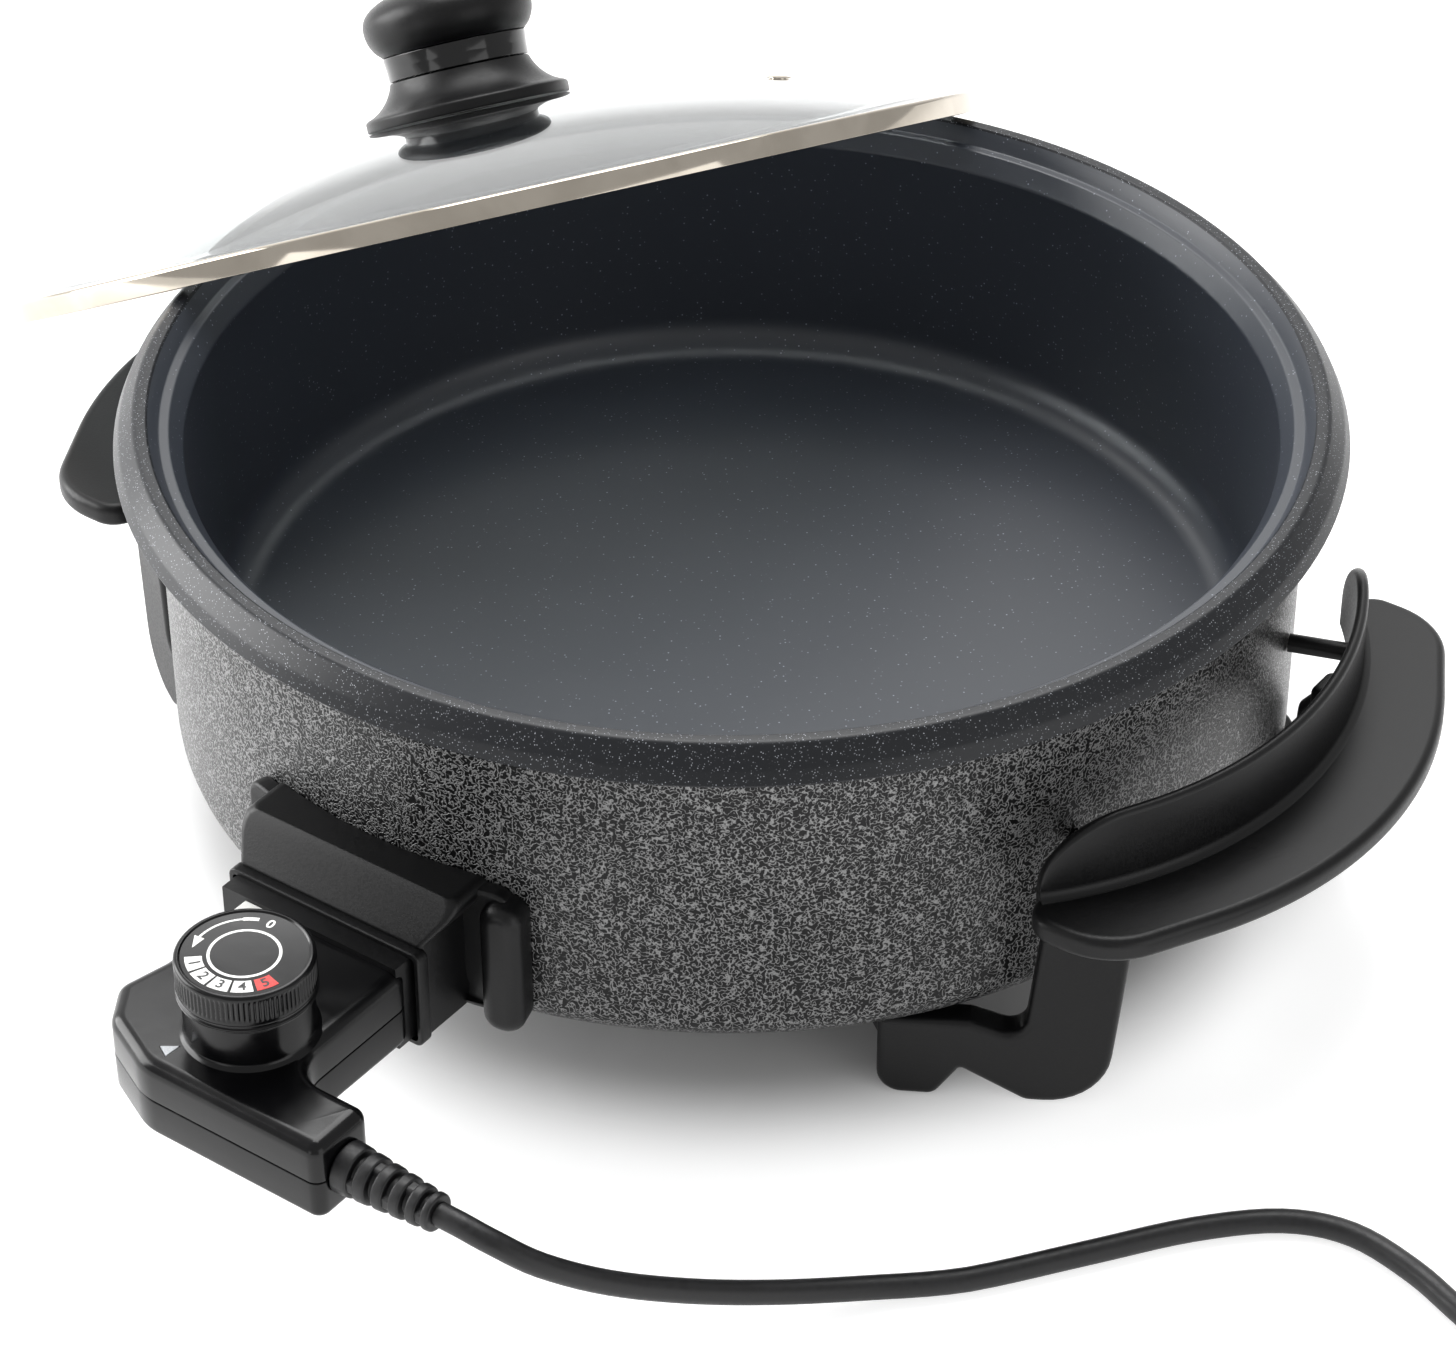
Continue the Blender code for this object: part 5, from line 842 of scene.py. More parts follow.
@dataclass
class Lid(Assembly):
    """Domed glass in a polished band, with its vent and its knob, leaning on the rim."""

    body = "lid"

    ring: float = 0.1945
    ring_height: float = 0.0080
    wall: float = 0.0008
    fold: float = 0.0080
    glass: float = 0.0040
    rise: float = 0.0358
    lean_reach: float = 0.0532
    azimuth: float = 149.7
    vent_reach: float = 0.119423
    vent_azimuth: float = -118.0
    gap: float = 0.0003
    crest_radius: float = 0.2005
    crest_height: float = 0.1595
    crest_round: float = 0.0020
    skirt: float = 0.0398
    screw: float = 0.0027
    cap: Pair = (0.0330, 0.0137)
    cap_power: float = 2.35

    def __post_init__(self) -> None:
        """Work out the dome from its chord and rise."""
        self.seat = self.ring_height - self.wall - self.gap - self.glass
        self.edge = self.ring - 0.0012
        self.chord = self.edge - self.fold
        self.dome = (self.chord ** 2 + self.rise ** 2) / (2 * self.rise)
        self.centre = self.seat + self.rise - self.dome
        self.apex = self.seat + self.rise + self.glass
        self.at = self.place()

    def height(self, radius: Array | float, offset: float = 0.0) -> Array:
        """Height of a sphere parallel to the glass's lower face at a distance from its middle."""
        return self.centre + np.sqrt((self.dome + offset) ** 2 - np.asarray(radius) ** 2)

    def place(self) -> Matrix:
        """Where the lid stands: its band on the table and its dome against the rim.

        The crest's circle touches the dome's underside at lean_reach from the lid's axis. The tilt is the angle at
        which that point, seen from the band's foot, stands at the crest's height.

        Returns:
            The matrix from the lid's own frame to the pan's.
        """
        lean = math.radians(self.azimuth)
        span = self.dome - 3 * self.gap - self.crest_round
        rise = self.centre + math.sqrt(span ** 2 - self.lean_reach ** 2)
        reach = self.ring + self.lean_reach
        tilt = math.asin(self.crest_height / math.hypot(reach, rise)) - math.atan2(rise, reach)
        height = self.ring * math.sin(tilt)
        s = self.crest_radius + self.lean_reach * math.cos(tilt) - rise * math.sin(tilt)
        spot = Matrix.Translation((s * math.cos(lean), s * math.sin(lean), height))
        return spot @ Matrix.Rotation(lean, 4, "Z") @ Matrix.Rotation(tilt, 4, "Y")

    def glass_profile(self) -> Array:
        """Closed profile of the glass: outer sphere, flat rim and inner sphere."""
        r = np.linspace(self.screw + 0.0002, self.chord, 40)
        outer = np.stack([r, self.height(r, self.glass)], 1)
        inner = np.stack([r, self.height(r)], 1)[::-1]
        top, edge = self.seat + self.glass, 0.0012
        rim = rounded([(self.chord, top, 0), (self.edge, top, edge), (self.edge, self.seat, edge),
                       (self.chord, self.seat, 0)], 5, closed=False)
        return np.concatenate([outer[:-1], rim, inner[1:]])

    def band_profile(self) -> Array:
        """Closed profile of the polished band: a folded strip round the glass's edge."""
        r, h, w, lip, edge = self.ring - 0.00012, self.ring_height, self.wall, self.fold, 0.0003
        seat = self.seat - self.gap
        return rounded([(r - lip, h, edge), (r, h, 0.0016), (r, 0, edge), (r - w, 0, edge), (r - w, seat - w, 0),
                        (r - lip, seat - w, edge), (r - lip, seat, edge), (r - w, seat, 0), (r - w, h - w, 0.0006),
                        (r - lip, h - w, edge)], 6)

    def knob(self) -> None:
        """Make the knob: seal, flared skirt, glossy neck and mushroom cap.

        The skirt's flare is an ellipse's arc hollow to the outside. The cap is a superellipse above its widest
        circle, and an ellipse's arc below it.
        """
        screw, inner = self.screw, 0.0115
        seal_low, seal_top, base = self.apex + 0.0003, self.apex + 0.0018, self.apex + 0.0021
        seal = np.array([(screw, seal_low), (inner, seal_low), (inner, seal_top), (screw, seal_top)])
        self.show("knob_seal_ring", revolve(seal, 64).turned(self.at), SILICONE, "knob_seal")
        low = float(self.height(self.skirt, self.glass)) + 0.0005
        top = low + 0.0170
        u, end = np.radians(np.linspace(70.0, 15.0, 14)), math.radians(15.0)
        flare = np.stack([0.0385 - 0.01645 * (np.sin(u) - math.sin(end)),
                          low + 0.0050 + 0.0189 * (math.cos(end) - np.cos(u))], 1)
        skirt = rounded(np.concatenate([sharp(flare), [
            (self.skirt, low + 0.0042, 0.0013), (self.skirt, low, 0.0007), (0.0358, low, 0.001),
            (inner, base + 0.0040, 0), (inner, base, 0), (screw, base, 0), (screw, top, 0),
            (0.0268, top, 0.0005)]]), 6)
        self.show("knob_base", revolve(skirt, 128).turned(self.at), PHENOLIC, "knob_skirt")
        foot, head, hub = top + 0.0003, top + 0.0098, 0.0113
        neck = rounded([(hub, foot, 0), (0.0274, foot, 0.0005), (0.0276, top + 0.0050, 0.012),
                        (0.0281, head, 0.0005), (hub, head, 0)], 6)
        self.show("knob_neck", revolve(neck, 128).turned(self.at), GLOSS_NECK, "knob_band")
        cap, (wide, high) = top + 0.0101, self.cap
        t = np.linspace(np.pi / 2, 0, 28)
        crown = np.stack([wide * np.cos(t) ** (2 / self.cap_power),
                          cap + 0.0108 + high * np.sin(t) ** (2 / self.cap_power)], 1)
        crown[0, 0] = 0.0
        v = np.radians(np.linspace(0.0, -60.0, 12)[1:])
        under = np.stack([0.0236 + 0.0094 * np.cos(v), cap + 0.0108 + 0.0120 * np.sin(v)], 1)
        inside = np.array([(0.0280, cap), (0.0110, cap), (0.0110, foot), (screw, foot), (screw, base + 0.0323),
                           (0, base + 0.0323)])
        dome = np.concatenate([crown, under, inside])
        self.show("knob_top", revolve(dome, 128).turned(self.at), PHENOLIC, "knob_cap")

    def build(self) -> None:
        """Make the glass, its band, the vent and the knob."""
        vent = self.dome + self.glass / 2
        lean = math.asin(self.vent_reach / vent)
        spot = self.at @ (Matrix.Rotation(math.radians(self.vent_azimuth), 4, "Z") @ Matrix.Translation(
            (self.vent_reach, 0, self.centre + vent * math.cos(lean))) @ Matrix.Rotation(lean, 4, "Y"))
        hole = rod(0.0041, -0.008, 0.008, 48).turned(spot)
        self.show("domed_glass", revolve(self.glass_profile()).turned(self.at), GLASS, "lid_glass", cutters=[hole])
        self.show("lid_band", revolve(self.band_profile(), 256).turned(self.at), POLISHED, "lid_ring")
        half, bore, waist, flat = 0.0023, 0.0022, 0.0038, 0.0050
        eyelet = rounded([(bore, 0.0028, 0.0003), (0.0031, 0.0034, 0.0009), (0.0062, half, 0.0002),
                          (waist, half, 0), (waist, -half, 0), (flat, -half, 0.0002), (flat, -0.0031, 0.0003),
                          (bore, -0.0031, 0.0003)], 4)
        self.show("steam_vent", revolve(eyelet, 48).turned(spot), POLISHED, "vent_eyelet")
        self.knob()


# ---- thermostat


@dataclass
class Thermostat(Assembly):
    """Plug-in thermostat: two glossy case halves, lamp window, pointer and ribbed boot."""

    body = "thermostat"

    origin: Triple = (0.0, -0.2230, 0.0595)
    half: float = 0.0145
    seam: float = 0.0002
    dial_x: float = 0.0150
    dial_y: float = -0.0520
    case: tuple = ((0.0295, 0.0148, 0.0028), (-0.0295, 0.0148, 0.0028), (-0.0282, -0.0420, 0.022),
                   (-0.0326, -0.0605, 0.0068), (-0.0238, -0.0742, 0.0120), (-0.0020, -0.0845, 0.0200),
                   (0.069, -0.0845, 0.0045), (0.069, -0.0595, 0.0045), (0.0374, -0.0595, 0.0130),
                   (0.0374, -0.0008, 0.0072), (0.0295, -0.0008, 0.0004))
    lens: Pair = (-0.0195, -0.0115)
    pins: tuple = ((-0.014, 0.0035), (0.014, 0.0035), (0, 0.0031))
    pin_height: float = -0.0073
    screws: tuple = ((0.00295, -0.02535), (0.0552, -0.065))
    screw_head: float = 0.0039
    pointer_aim: Pair = (0.49, 0.87)
    pointer_reach: float = 0.02335
    pointer_size: Pair = (0.00525, 0.0025)
    boot_at: Pair = (0.0693, -0.0720)
    boot_length: float = 0.0360
    boot_root: float = 0.0088
    boot_tip: float = 0.0062
    boot_groove: float = 0.0026
    boot_rings: tuple = ((0.0, 0.0062), (0.0082, 0.0128), (0.0150, 0.0192), (0.0214, 0.0254), (0.0276, 0.0312),
                         (0.0332, 0.0360))

    def __post_init__(self) -> None:
        """Work out where the thermostat's own frame lies."""
        self.at = Matrix.Translation(self.origin)

    def build_case(self) -> None:
        """Make both case halves, with the lamp's seat, the pin holes and the screw sinks cut out."""
        line = resample(rounded(self.case, 10), 0.003)
        above = 0.0200
        upper = plate(line, self.seam, self.half, 0.0046, 0.0004, 8)
        lens = plate(oblong(*self.lens, 0.0146, 0.0206, 0.0031), 0.0112, above, 0.0, steps=1)
        mark = plate(self.pointer(0.0003), 0.0136, above, 0.0, steps=1)
        self.show("case_upper", upper.turned(self.at), GLOSS_CASE, "housing_upper",
                  cutters=[lens.turned(self.at), mark.turned(self.at)])
        top = 0.0295
        collar = rounded([(0, top, 0), (0.0208, top, 0.0005), (0.0206, self.half + 0.0012, 0.002),
                          (0.0226, self.half - 0.0004, 0), (0, self.half - 0.0004, 0)], 6, closed=False)
        spot = self.at @ Matrix.Translation((self.dial_x, self.dial_y, 0))
        self.show("dial_collar", revolve(collar, 128).turned(spot), GLOSS_CASE)
        lower = plate(line, -self.half, -self.seam, 0.0004, 0.0028, 6)
        level = [self.at @ axes((1, 0, 0), (0, 0, 1), (0, 1, 0), (x, 0, self.pin_height)) for x, _ in self.pins]
        cuts = [rod(r, 0.005, 0.02, 24).turned(spot) for (_, r), spot in zip(self.pins, level)]
        cuts += [rod(self.screw_head, -0.02, -0.0115, 24).turned(self.at @ Matrix.Translation((x, y, 0)))
                 for x, y in self.screws]
        self.show("case_lower", lower.turned(self.at), GLOSS_CASE, "housing_lower", cutters=cuts)

    def pointer(self, grow: float) -> Array:
        """Outline of the pointer mark, or with grow of its recess."""
        aim = np.array(self.pointer_aim) / math.hypot(*self.pointer_aim)
        across = np.array([-aim[1], aim[0]])
        length, half = self.pointer_size
        tip = np.array([self.dial_x, self.dial_y]) - aim * self.pointer_reach
        foot = tip - aim * (length + grow)
        return np.stack([tip + aim * grow * 2, foot + across * (half + grow), foot - across * (half + grow)])

    def build_marks(self) -> None:
        """Make the lamp window and the pointer."""
        lens = plate(oblong(*self.lens, 0.0140, 0.0200, 0.0028), 0.0115, self.half + 0.0005, 0.0007, 0.0002)
        self.show("lamp_window", lens.turned(self.at), OPAL, "pilot_lens")
        mark = plate(self.pointer(0.0), 0.0139, self.half + 0.0002, 0.0, steps=1)
        self.show("dial_pointer", mark.turned(self.at), GREY_INK, "pointer_mark")

    def build_boot(self) -> bpy.types.Object:
        """Make the rubber boot: a collar, then rings with gaps between them, on a tapered core.

        The radius is the tapered outer one over each ring and the core's between them. A bridge crosses each gap,
        by turns upright and level.

        Returns:
            The boot.
        """
        length, root, tip = self.boot_length, self.boot_root, self.boot_tip
        rows = [(0.0, 0.0, 0.0)]
        for low, high in self.boot_rings:
            a, b = (root + (tip - root) * z / length for z in (low, high))
            if low > 0.0:
                rows.append((a - self.boot_groove, low, 0.0003))
            rows += [(a, low, 0.0008), (b, high, 0.0009)]
            if high < length:
                rows.append((b - self.boot_groove, high, 0.0003))
        rows.append((0.0, length, 0.0))
        skin = revolve(rounded(rows, 4, closed=False), 64)
        for k, ((_, low), (high, _)) in enumerate(zip(self.boot_rings[:-1], self.boot_rings[1:])):
            wide, thin = (root + (tip - root) * low / length - 0.0008) * 2, 0.0045
            size = (thin, wide) if k % 2 else (wide, thin)
            skin = skin + plate(oblong(0.0, 0.0, *size, 0.001), low - 0.0004, high + 0.0004, 0.0, steps=1)
        start = (self.boot_at[0], self.origin[1] + self.boot_at[1], self.origin[2])
        along = axes((0, 1, 0), (0, 0, 1), (1, 0, 0), start)
        return self.show("cord_boot", skin.turned(along), RUBBER, "strain_relief")

    def build(self) -> bpy.types.Object:
        """Make the thermostat and return the boot, which the cord leaves."""
        self.build_case()
        self.build_marks()
        return self.build_boot()


# ---- dial


@dataclass
class Dial(Assembly):
    """Knurled dial with printed numbers, a ring and an arrow. Angles are seen from above, from +X."""

    body = "dial"

    centre: Pair = (0.0150, -0.2750)
    radius: float = 0.0220
    low: float = 0.0896
    high: float = 0.1036
    ribs: int = 84
    rib_depth: float = 0.00034
    rib_low: float = 0.0042
    bore: Pair = (0.0033, 0.0103)
    ring: Pair = (0.01065, 0.0116)
    boxes: Pair = (0.0184, 0.0130)
    box_half: float = 11.2
    numbers: dict = field(default_factory=lambda: {"1": 232.0, "2": 257.5, "3": 283.0, "4": 308.5, "5": 334.5})
    figure_reach: float = 0.0157
    zero: float = 100.0
    zero_reach: float = 0.0160
    figure_size: float = 0.0052
    figure_height: float = 0.00006
    figure_bold: float = 0.0001
    arc_radius: float = 0.0166
    arc_turns: Triple = (115.0, 133.0, 187.0)
    arc_halves: Pair = (0.00075, 0.00038)
    arrow_tip: float = 206.0
    arrow_half: float = 0.0018
    print_smooth: float = 32.0
    sunk: float = -0.0002
    proud: float = 0.00010

    def knurl(self, profile: Array, angle: Array) -> Array:
        """Radii of the knurled skirt: r less a rib's depth times a squared raised cosine, on its upper part."""
        r, z = profile[:, :1], profile[:, 1:]
        depth = self.rib_depth * np.clip((z - self.low - self.rib_low) / 0.0008, 0, 1)
        depth = depth * np.clip((self.high - 0.0018 - z) / 0.0006, 0, 1) * (r > self.radius * 0.9)
        return r - depth * (0.5 - 0.5 * np.cos(self.ribs * angle)) ** 2

    def build_skirt(self) -> None:
        """Make the dial with its knurl and the two bright beads low on its skirt."""
        r, low, high, (bore, depth) = self.radius, self.low, self.high, self.bore
        groove, face = r - 0.0005, high - 0.0006
        profile = np.concatenate([
            [(0, low + depth)],
            rounded([(bore, low + depth, 0), (bore, low, 0), (r, low, 0.0005), (r, low + 0.0012, 0.0002),
                     (groove, low + 0.0016, 0), (groove, low + 0.0021, 0), (r, low + 0.0025, 0.0002),
                     (r, low + 0.0040, 0)], 4, closed=False),
            [(r, z) for z in np.linspace(low + self.rib_low, high - 0.0016, 14)],
            rounded([(r, high - 0.0015, 0), (r, high, 0.0013), (r - 0.0016, high, 0.0003), (r - 0.0021, face, 0.0003),
                     (0, face, 0)], 6, closed=False)])
        place = Matrix.Translation((*self.centre, 0))
        self.show("control_dial", revolve(profile, self.ribs * 8, self.knurl).turned(place), GLOSS_CASE, "dial",
                  smooth=50.0)
        t, half = np.linspace(-np.pi / 2, np.pi / 2, 7), 0.00032
        for z in (low + 0.0006, low + 0.0028):
            bead = np.concatenate([[(r - 0.0004, z - half)], (r - 0.0001, z) + half * polar(1.0, t),
                                   [(r - 0.0004, z + half)]])
            self.show("dial_bead_%d" % round(z / MM * 10), revolve(bead, 128).turned(place), GLOSS_NECK, smooth=60.0)

    def build_print(self) -> None:
        """Print the ring, the number boxes, the numbers and the arrow on the face."""
        face = self.high - 0.0006
        place = Matrix.Translation((*self.centre, face))
        inner, outer = self.ring
        ring = np.array([(inner, self.sunk), (outer, self.sunk), (outer, 0.00012), (inner, 0.00012)])
        self.show("dial_ring", revolve(ring, 96).turned(place), WHITE_INK)
        for text, turn in self.numbers.items():
            angle = np.radians(turn + np.linspace(-self.box_half, self.box_half, 12))
            far, near = (polar(radius, angle) for radius in self.boxes)
            tile = plate(np.concatenate([far, near[::-1]]), self.sunk, self.proud, 0.00005, 0.0, 1)
            self.show("dial_box_" + text, tile.turned(place), RED_INK if text == "5" else WHITE_INK,
                      smooth=self.print_smooth)
            self.number(text, turn, self.figure_reach, BLACK_INK, face + self.proud)
        self.number("0", self.zero, self.zero_reach, WHITE_INK, face)
        self.show("dial_arrow", plate(self.arrow(), self.sunk, self.proud, 0.0, 0.0, 1).turned(place), WHITE_INK,
                  smooth=self.print_smooth)

    def arrow(self) -> Array:
        """Outline of the arc, with a block at its start and an arrowhead at its end."""
        start, block, stop = self.arc_turns
        degrees = np.linspace(start, stop, 40)
        half = np.where(degrees < block, *self.arc_halves)
        turn, end, tip = np.radians(degrees), math.radians(stop), math.radians(self.arrow_tip)
        middle = self.arc_radius
        head = [(r * math.cos(a), r * math.sin(a))
                for r, a in ((middle + self.arrow_half, end), (middle, tip), (middle - self.arrow_half, end))]
        return np.concatenate([polar(middle + half, turn), head, polar(middle - half, turn)[::-1]])

    def number(self, text: str, turn: float, reach: float, finish: Finish, height: float) -> None:
        """Print one figure, upright towards the dial's rim.

        Args:
            text: The figure.
            turn: Its angle in degrees.
            reach: Its distance from the dial's axis.
            finish: Its ink.
            height: Height of the face under it.
        """
        curve = bpy.data.curves.new("figure_" + text, "FONT")
        curve.body = text
        curve.size = self.figure_size
        curve.align_x = "CENTER"
        curve.align_y = "CENTER"
        curve.extrude = self.figure_height
        curve.offset = self.figure_bold
        draft = add_object("figure_draft", curve)
        data = worked_out(draft)
        bpy.data.objects.remove(draft, do_unlink=True)
        angle = math.radians(turn)
        spot = Vector((self.centre[0] + reach * math.cos(angle), self.centre[1] + reach * math.sin(angle), height))
        data.transform(Matrix.Translation(spot + Vector(AXIS)) @ Matrix.Rotation(angle + math.pi / 2, 4, "Z"))
        self.dress(add_object("dial_figure_" + text, data), finish)

    def build(self) -> None:
        """Make the dial and its print."""
        self.build_skirt()
        self.build_print()


# ---- cord


@dataclass
class Cord(Assembly):
    """Round lead from the thermostat's boot over the table, its rest in a coil, and the plug."""

    body = "thermostat"

    radius: float = 0.0040
    boot_end: Triple = (0.1056, -0.2950, 0.0595)
    turns: float = 3.38
    mid: float = 0.0480
    spacing: float = 0.0087
    plug_height: float = 0.0186
    gap: float = 0.0003
    bevel_inset: float = 0.00004
    steps_a_turn: int = 48
    route: tuple = (
        (0.1136, -0.2950, 0.0595), (0.1240, -0.2925, 0.0560), (0.1355, -0.2845, 0.0470), (0.1480, -0.2680, 0.0340),
        (0.1620, -0.2465, 0.0215), (0.1775, -0.2240, 0.0120), (0.1960, -0.2010, 0.0062), (0.2190, -0.1770, 0.0041),
        (0.2430, -0.1450, 0.0041), (0.2640, -0.1170, 0.0041), (0.2850, -0.0970, 0.0041), (0.3060, -0.0895, 0.0041),
        (0.3300, -0.0930, 0.0041), (0.3520, -0.1010, 0.0041), (0.3780, -0.1093, 0.0041), (0.4050, -0.1180, 0.0041))

    def free_run(self) -> Array:
        """Points of the free stretch: a Catmull-Rom curve through the route."""
        p = np.array(self.route[:-1])
        ends = np.concatenate([[2 * p[0] - p[1]], p, [2 * p[-1] - p[-2]]])
        a, b, c, d = ends[:-3], ends[1:-2], ends[2:-1], ends[3:]
        t = np.linspace(0, 1, 6)[1:, None, None]
        line = 0.5 * (b * 2 + (c - a) * t + (a * 2 - b * 5 + c * 4 - d) * t ** 2
                      + (b * 3 - a - c * 3 + d) * t ** 3)
        line = line.transpose(1, 0, 2).reshape(-1, 3)
        line[:, 2] = np.maximum(line[:, 2], self.route[-1][2])
        return np.concatenate([[self.boot_end], p[:1], line, [self.route[-1]]])

    def coil(self) -> tuple[Array, Array]:
        """Points of the coil: a spiral in, half a turn's climb of one layer, and a spiral out.

        Returns:
            The points, and the direction in which the coil ends.
        """
        start, last = np.array(self.route[-1]), np.array(self.route[-2])
        heading = (start - last) / np.linalg.norm(start - last)
        begin = start + heading * self.gap
        wide = self.mid + self.spacing * self.turns / 4
        left = np.array([-heading[1], heading[0], 0.0])
        centre = begin + heading * self.radius * 2 + left * wide
        turn = np.linspace(0, self.turns, round(self.steps_a_turn * self.turns) + 1)
        radius = wide - self.spacing * np.minimum(turn, self.turns - turn)
        climb = np.clip((turn - self.turns / 2 + 0.25) / 0.5, 0, 1)
        height = start[2] + self.spacing * climb ** 2 * (3 - 2 * climb)
        angle = math.atan2(-left[1], -left[0]) + 2 * np.pi * turn
        loop = np.column_stack([centre[:2] + polar(radius, angle), height])
        out = (loop[-1] - loop[-2]) * [1, 1, 0]
        out /= np.linalg.norm(out)
        over = loop[-1] + out * self.radius * 4
        down = over + out * self.radius * 5 + [0, 0, self.plug_height - over[2]]
        return np.concatenate([[begin], loop, [over, down, down + out * self.radius * 2]]), out

    def plug(self, start: Array, out: Array) -> bpy.types.Object:
        """Make the moulded round plug: disc, ribbed grip and neck.

        Args:
            start: Where the cord enters.
            out: The direction of its pins.

        Returns:
            The plug.
        """
        ribs = [(0.0150 - 0.0011 * (k % 2), 0.0235 - 0.0016 * k, 0.0004) for k in range(6)]
        rows = [(0, 0.042, 0), (0.0185, 0.042, 0.0015), (0.0185, 0.030, 0.0012), (0.0150, 0.0252, 0.0008), *ribs,
                (0.0129, 0.0135, 0.004), (0.0072, 0.0067, 0.003), (0.0060, 0.0, 0.0005), (0, 0, 0)]
        ahead, side = Vector(out), Vector((-out[1], out[0], 0.0))
        place = axes(side, ahead.cross(side), ahead, start + out * self.gap)
        return self.show("mains_plug", revolve(rounded(rows, 5, closed=False), 96).turned(place), RUBBER,
                         "plug_body", smooth=45.0)

    def build(self, boot: bpy.types.Object) -> None:
        """Make the cord as one tube from the boot to the plug.

        Args:
            boot: The boot that it leaves; not used.
        """
        coil, out = self.coil()
        line = np.concatenate([self.free_run(), coil[1:]]) + AXIS
        curve = bpy.data.curves.new("mains_cord", "CURVE")
        curve.dimensions = "3D"
        curve.bevel_depth = self.radius - self.bevel_inset
        curve.bevel_resolution = 6
        curve.use_fill_caps = True
        spline = curve.splines.new("POLY")
        spline.points.add(len(line) - 1)
        spline.points.foreach_set("co", np.concatenate([line, np.ones((len(line), 1))], 1).ravel())
        spline.use_smooth = True
        cord = self.dress(add_object("mains_cord", curve), RUBBER, ["cord_run", "cord_coil"])
        plug = self.plug(coil[-1], out)


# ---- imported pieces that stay


@dataclass
class Hardware:
    """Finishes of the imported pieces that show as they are."""

    finishes: dict = field(default_factory=lambda: {
        "heating_element": SHEATH, "clamp_plate": REFLECTOR, "probe_tube": TURNED_STEEL, "probe_rod": TURNED_STEEL,
        "terminal_pin_left": NICKEL, "terminal_pin_right": NICKEL, "plug_pin_left": NICKEL, "plug_pin_right": NICKEL,
        "terminal_block": STEATITE, "contact_carrier": STEATITE, "earth_blade": BRASS, "contact_sleeve_left": BRASS,
        "contact_sleeve_right": BRASS, "switch_blade": BRASS, "switch_base": UREA, "lead_live": SLEEVING,
        "lead_neutral": SLEEVING, "pilot_lamp": GLASS})

    def build(self, nodes: dict) -> None:
        """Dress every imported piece, in bright-turned steel unless it has a finish of its own.

        Args:
            nodes: The frame's nodes by name.
        """
        for name, piece in nodes.items():
            piece.data.materials.clear()
            piece.data.materials.append(self.finishes.get(name, TURNED_STEEL).material())


# ---- studio


@dataclass(frozen=True)
class Softbox:
    """One soft square light that faces the pan.

    Its turn is in degrees to the left of the camera, its rise in degrees, its distance and side in metres and its
    power in watts.
    """

    name: str
    turn: float
    rise: float
    away: float
    side: float
    power: float


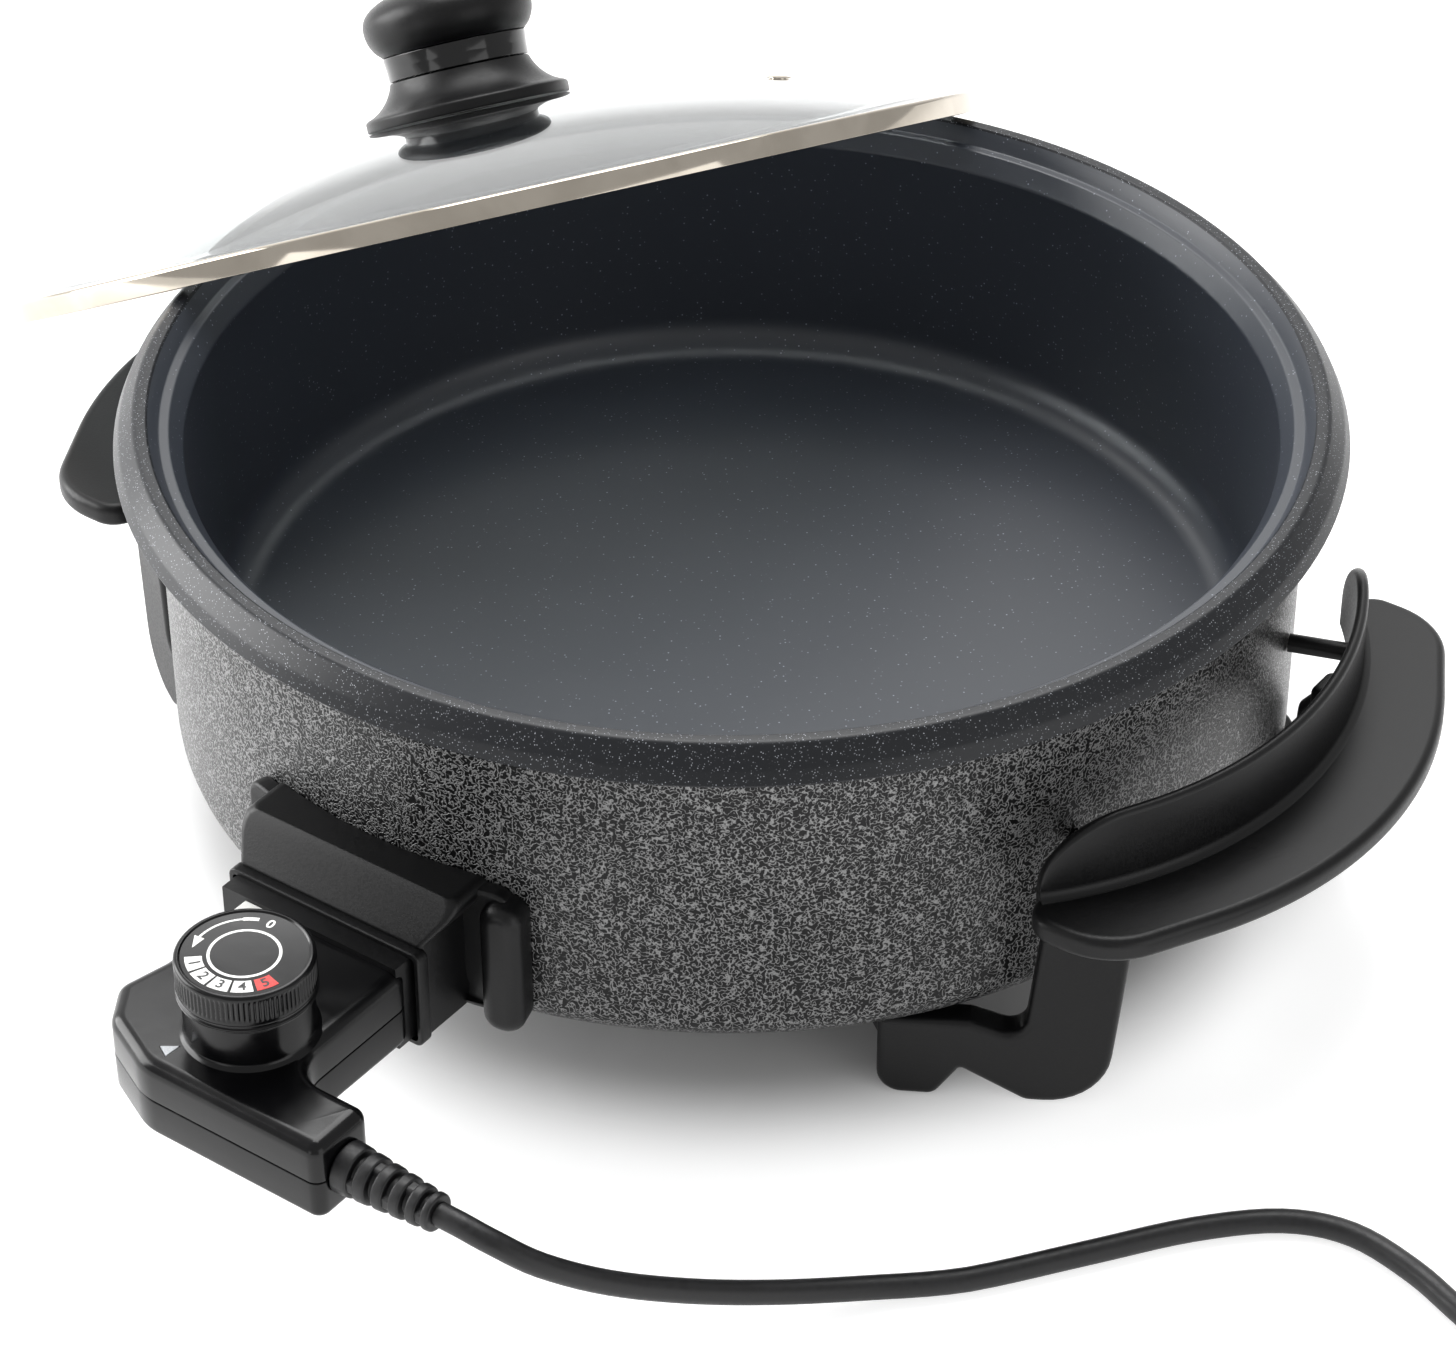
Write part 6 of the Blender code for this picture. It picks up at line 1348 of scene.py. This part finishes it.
@dataclass
class Studio:
    """Floor with a painted glow, soft lights, white surroundings and the camera at its fitted place."""

    distance: float = 1.2763
    height: float = 0.9767
    azimuth: float = 36.0
    pitch: float = 0.6337
    yaw: float = -0.0012
    roll: float = -0.0037
    focal_px: float = 4444.0
    width_px: float = 1456.0
    sensor: float = 36.0
    bright: Triple = (-0.85, 0.49, 0.17)
    bright_share: Pair = (0.30, 0.98)
    strength: Pair = (0.62, 1.60)
    aim_height: float = 0.1
    floor_half: float = 40.0
    floor_height: float = -0.0002
    # Painted glow of the floor, and the distances from the axis over which it rises out of a painted shade under the
    # pan.
    glow: float = 0.70
    painted_shade_reach: Pair = (0.168, 0.226)
    lights: tuple[Softbox, ...] = (
        Softbox("key", 100.0, 20.0, 1.9, 1.3, 46.0), Softbox("left_card", 38.0, 8.0, 2.3, 0.7, 2.4),
        Softbox("right_card", -44.0, 10.0, 2.3, 1.5, 9.0), Softbox("overhead", 180.0, 66.0, 1.9, 1.4, 38.0))

    def camera(self) -> None:
        """Place the camera from its fitted angles: forward, then right and up turned by the roll."""
        data = bpy.data.cameras.new("camera")
        data.sensor_width = self.sensor
        data.sensor_fit = "HORIZONTAL"
        data.lens = self.focal_px * self.sensor / self.width_px
        data.clip_start = 0.05
        turn = Matrix.Rotation(math.radians(self.azimuth), 3, "Z")
        ahead = Vector((math.sin(self.yaw) * math.cos(self.pitch), math.cos(self.yaw) * math.cos(self.pitch),
                        -math.sin(self.pitch)))
        right = ahead.cross(Vector((0, 0, 1))).normalized()
        up = right.cross(ahead)
        c, s = math.cos(self.roll), math.sin(self.roll)
        right, up = right * c + up * s, up * c - right * s
        spot = turn @ Vector((0, -self.distance, self.height)) + Vector(AXIS)
        item = add_object("camera", data)
        item.matrix_world = axes(turn @ right, turn @ up, turn @ -ahead, spot)
        bpy.context.scene.camera = item

    def light(self, box: Softbox) -> None:
        """Add one light, aimed at the middle of the pan's height."""
        data = bpy.data.lights.new(box.name, "AREA")
        data.shape = "SQUARE"
        data.size = box.side
        data.energy = box.power
        angle, lift = math.radians(self.azimuth - 90.0 - box.turn), math.radians(box.rise)
        aim = Vector((math.cos(angle) * math.cos(lift), math.sin(angle) * math.cos(lift), math.sin(lift)))
        target = Vector(AXIS) + Vector((0, 0, self.aim_height))
        add_object(box.name, data).matrix_world = Matrix.Translation(target + aim * box.away) @ \
            aim.to_track_quat("Z", "Y").to_matrix().to_4x4()

    def floor(self) -> None:
        """Lay the pale floor, with a painted glow that lifts its shadows and a painted shade under the pan.

        The glow rises smoothly from nothing to its full strength between two distances from the pan's axis.
        """
        side = np.linspace(-self.floor_half, self.floor_half, 3)
        x, y = np.meshgrid(side, side, indexing="ij")
        skin = lattice(np.stack([x, y, np.full_like(x, self.floor_height)], -1), False, False, False)
        data = bpy.data.meshes.new("floor")
        data.from_pydata(skin.points, [], [face[::-1] for face in skin.faces])
        item = add_object("floor", data)
        table = PAINTED_GLOW_FLOOR.material()
        tree = table.node_tree
        place = add_node(tree, "TexCoord").outputs["Object"]
        # Painted shade under the pan: no glow near its axis, rising to the full painted glow further out.
        away = add_node(tree, "VectorMath", {0: place, 1: tuple(AXIS)}, operation="DISTANCE").outputs["Value"]
        glow = add_node(tree, "MapRange", {"Value": away, "From Min": self.painted_shade_reach[0],
                                           "From Max": self.painted_shade_reach[1], "To Max": self.glow},
                        interpolation_type="SMOOTHSTEP")
        shader = tree.nodes["Principled BSDF"]
        shader.inputs["Emission Color"].default_value = linear("#ffffff")
        tree.links.new(glow.outputs[0], shader.inputs["Emission Strength"])
        data.materials.append(table)

    def surroundings(self) -> None:
        """White surroundings, brightest low behind the pan to the left, and even elsewhere.

        The strength is the share of the bright direction in each direction, mapped to a range.
        """
        world = bpy.data.worlds.new("studio")
        world.use_nodes = True
        tree = world.node_tree
        sky = tree.nodes["Background"]
        sky.inputs["Color"].default_value = linear("#ffffff")
        way = add_node(tree, "TexCoord").outputs["Generated"]
        share = add_node(tree, "VectorMath", {0: way, 1: self.bright}, operation="DOT_PRODUCT").outputs["Value"]
        level = add_node(tree, "MapRange", {"Value": share, "From Min": self.bright_share[0],
                                            "From Max": self.bright_share[1], "To Min": self.strength[0],
                                            "To Max": self.strength[1]}, interpolation_type="SMOOTHSTEP")
        tree.links.new(level.outputs[0], sky.inputs["Strength"])
        bpy.context.scene.world = world

    def build(self) -> None:
        """Set up the camera, the floor, the surroundings and the lights."""
        self.camera()
        self.floor()
        self.surroundings()
        for box in self.lights:
            self.light(box)
        bpy.context.scene.view_settings.view_transform = "Standard"
        bpy.context.scene.view_settings.look = "None"


def main() -> None:
    """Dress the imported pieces, build each sub-assembly and set up the studio."""
    Hardware().build(frame["nodes"])
    PanBody().build()
    Grip().build()
    SocketGuard().build()
    Lid().build()
    boot = Thermostat().build()
    Dial().build()
    Cord().build(boot)
    Studio().build()


if __name__ == "__main__":
    main()
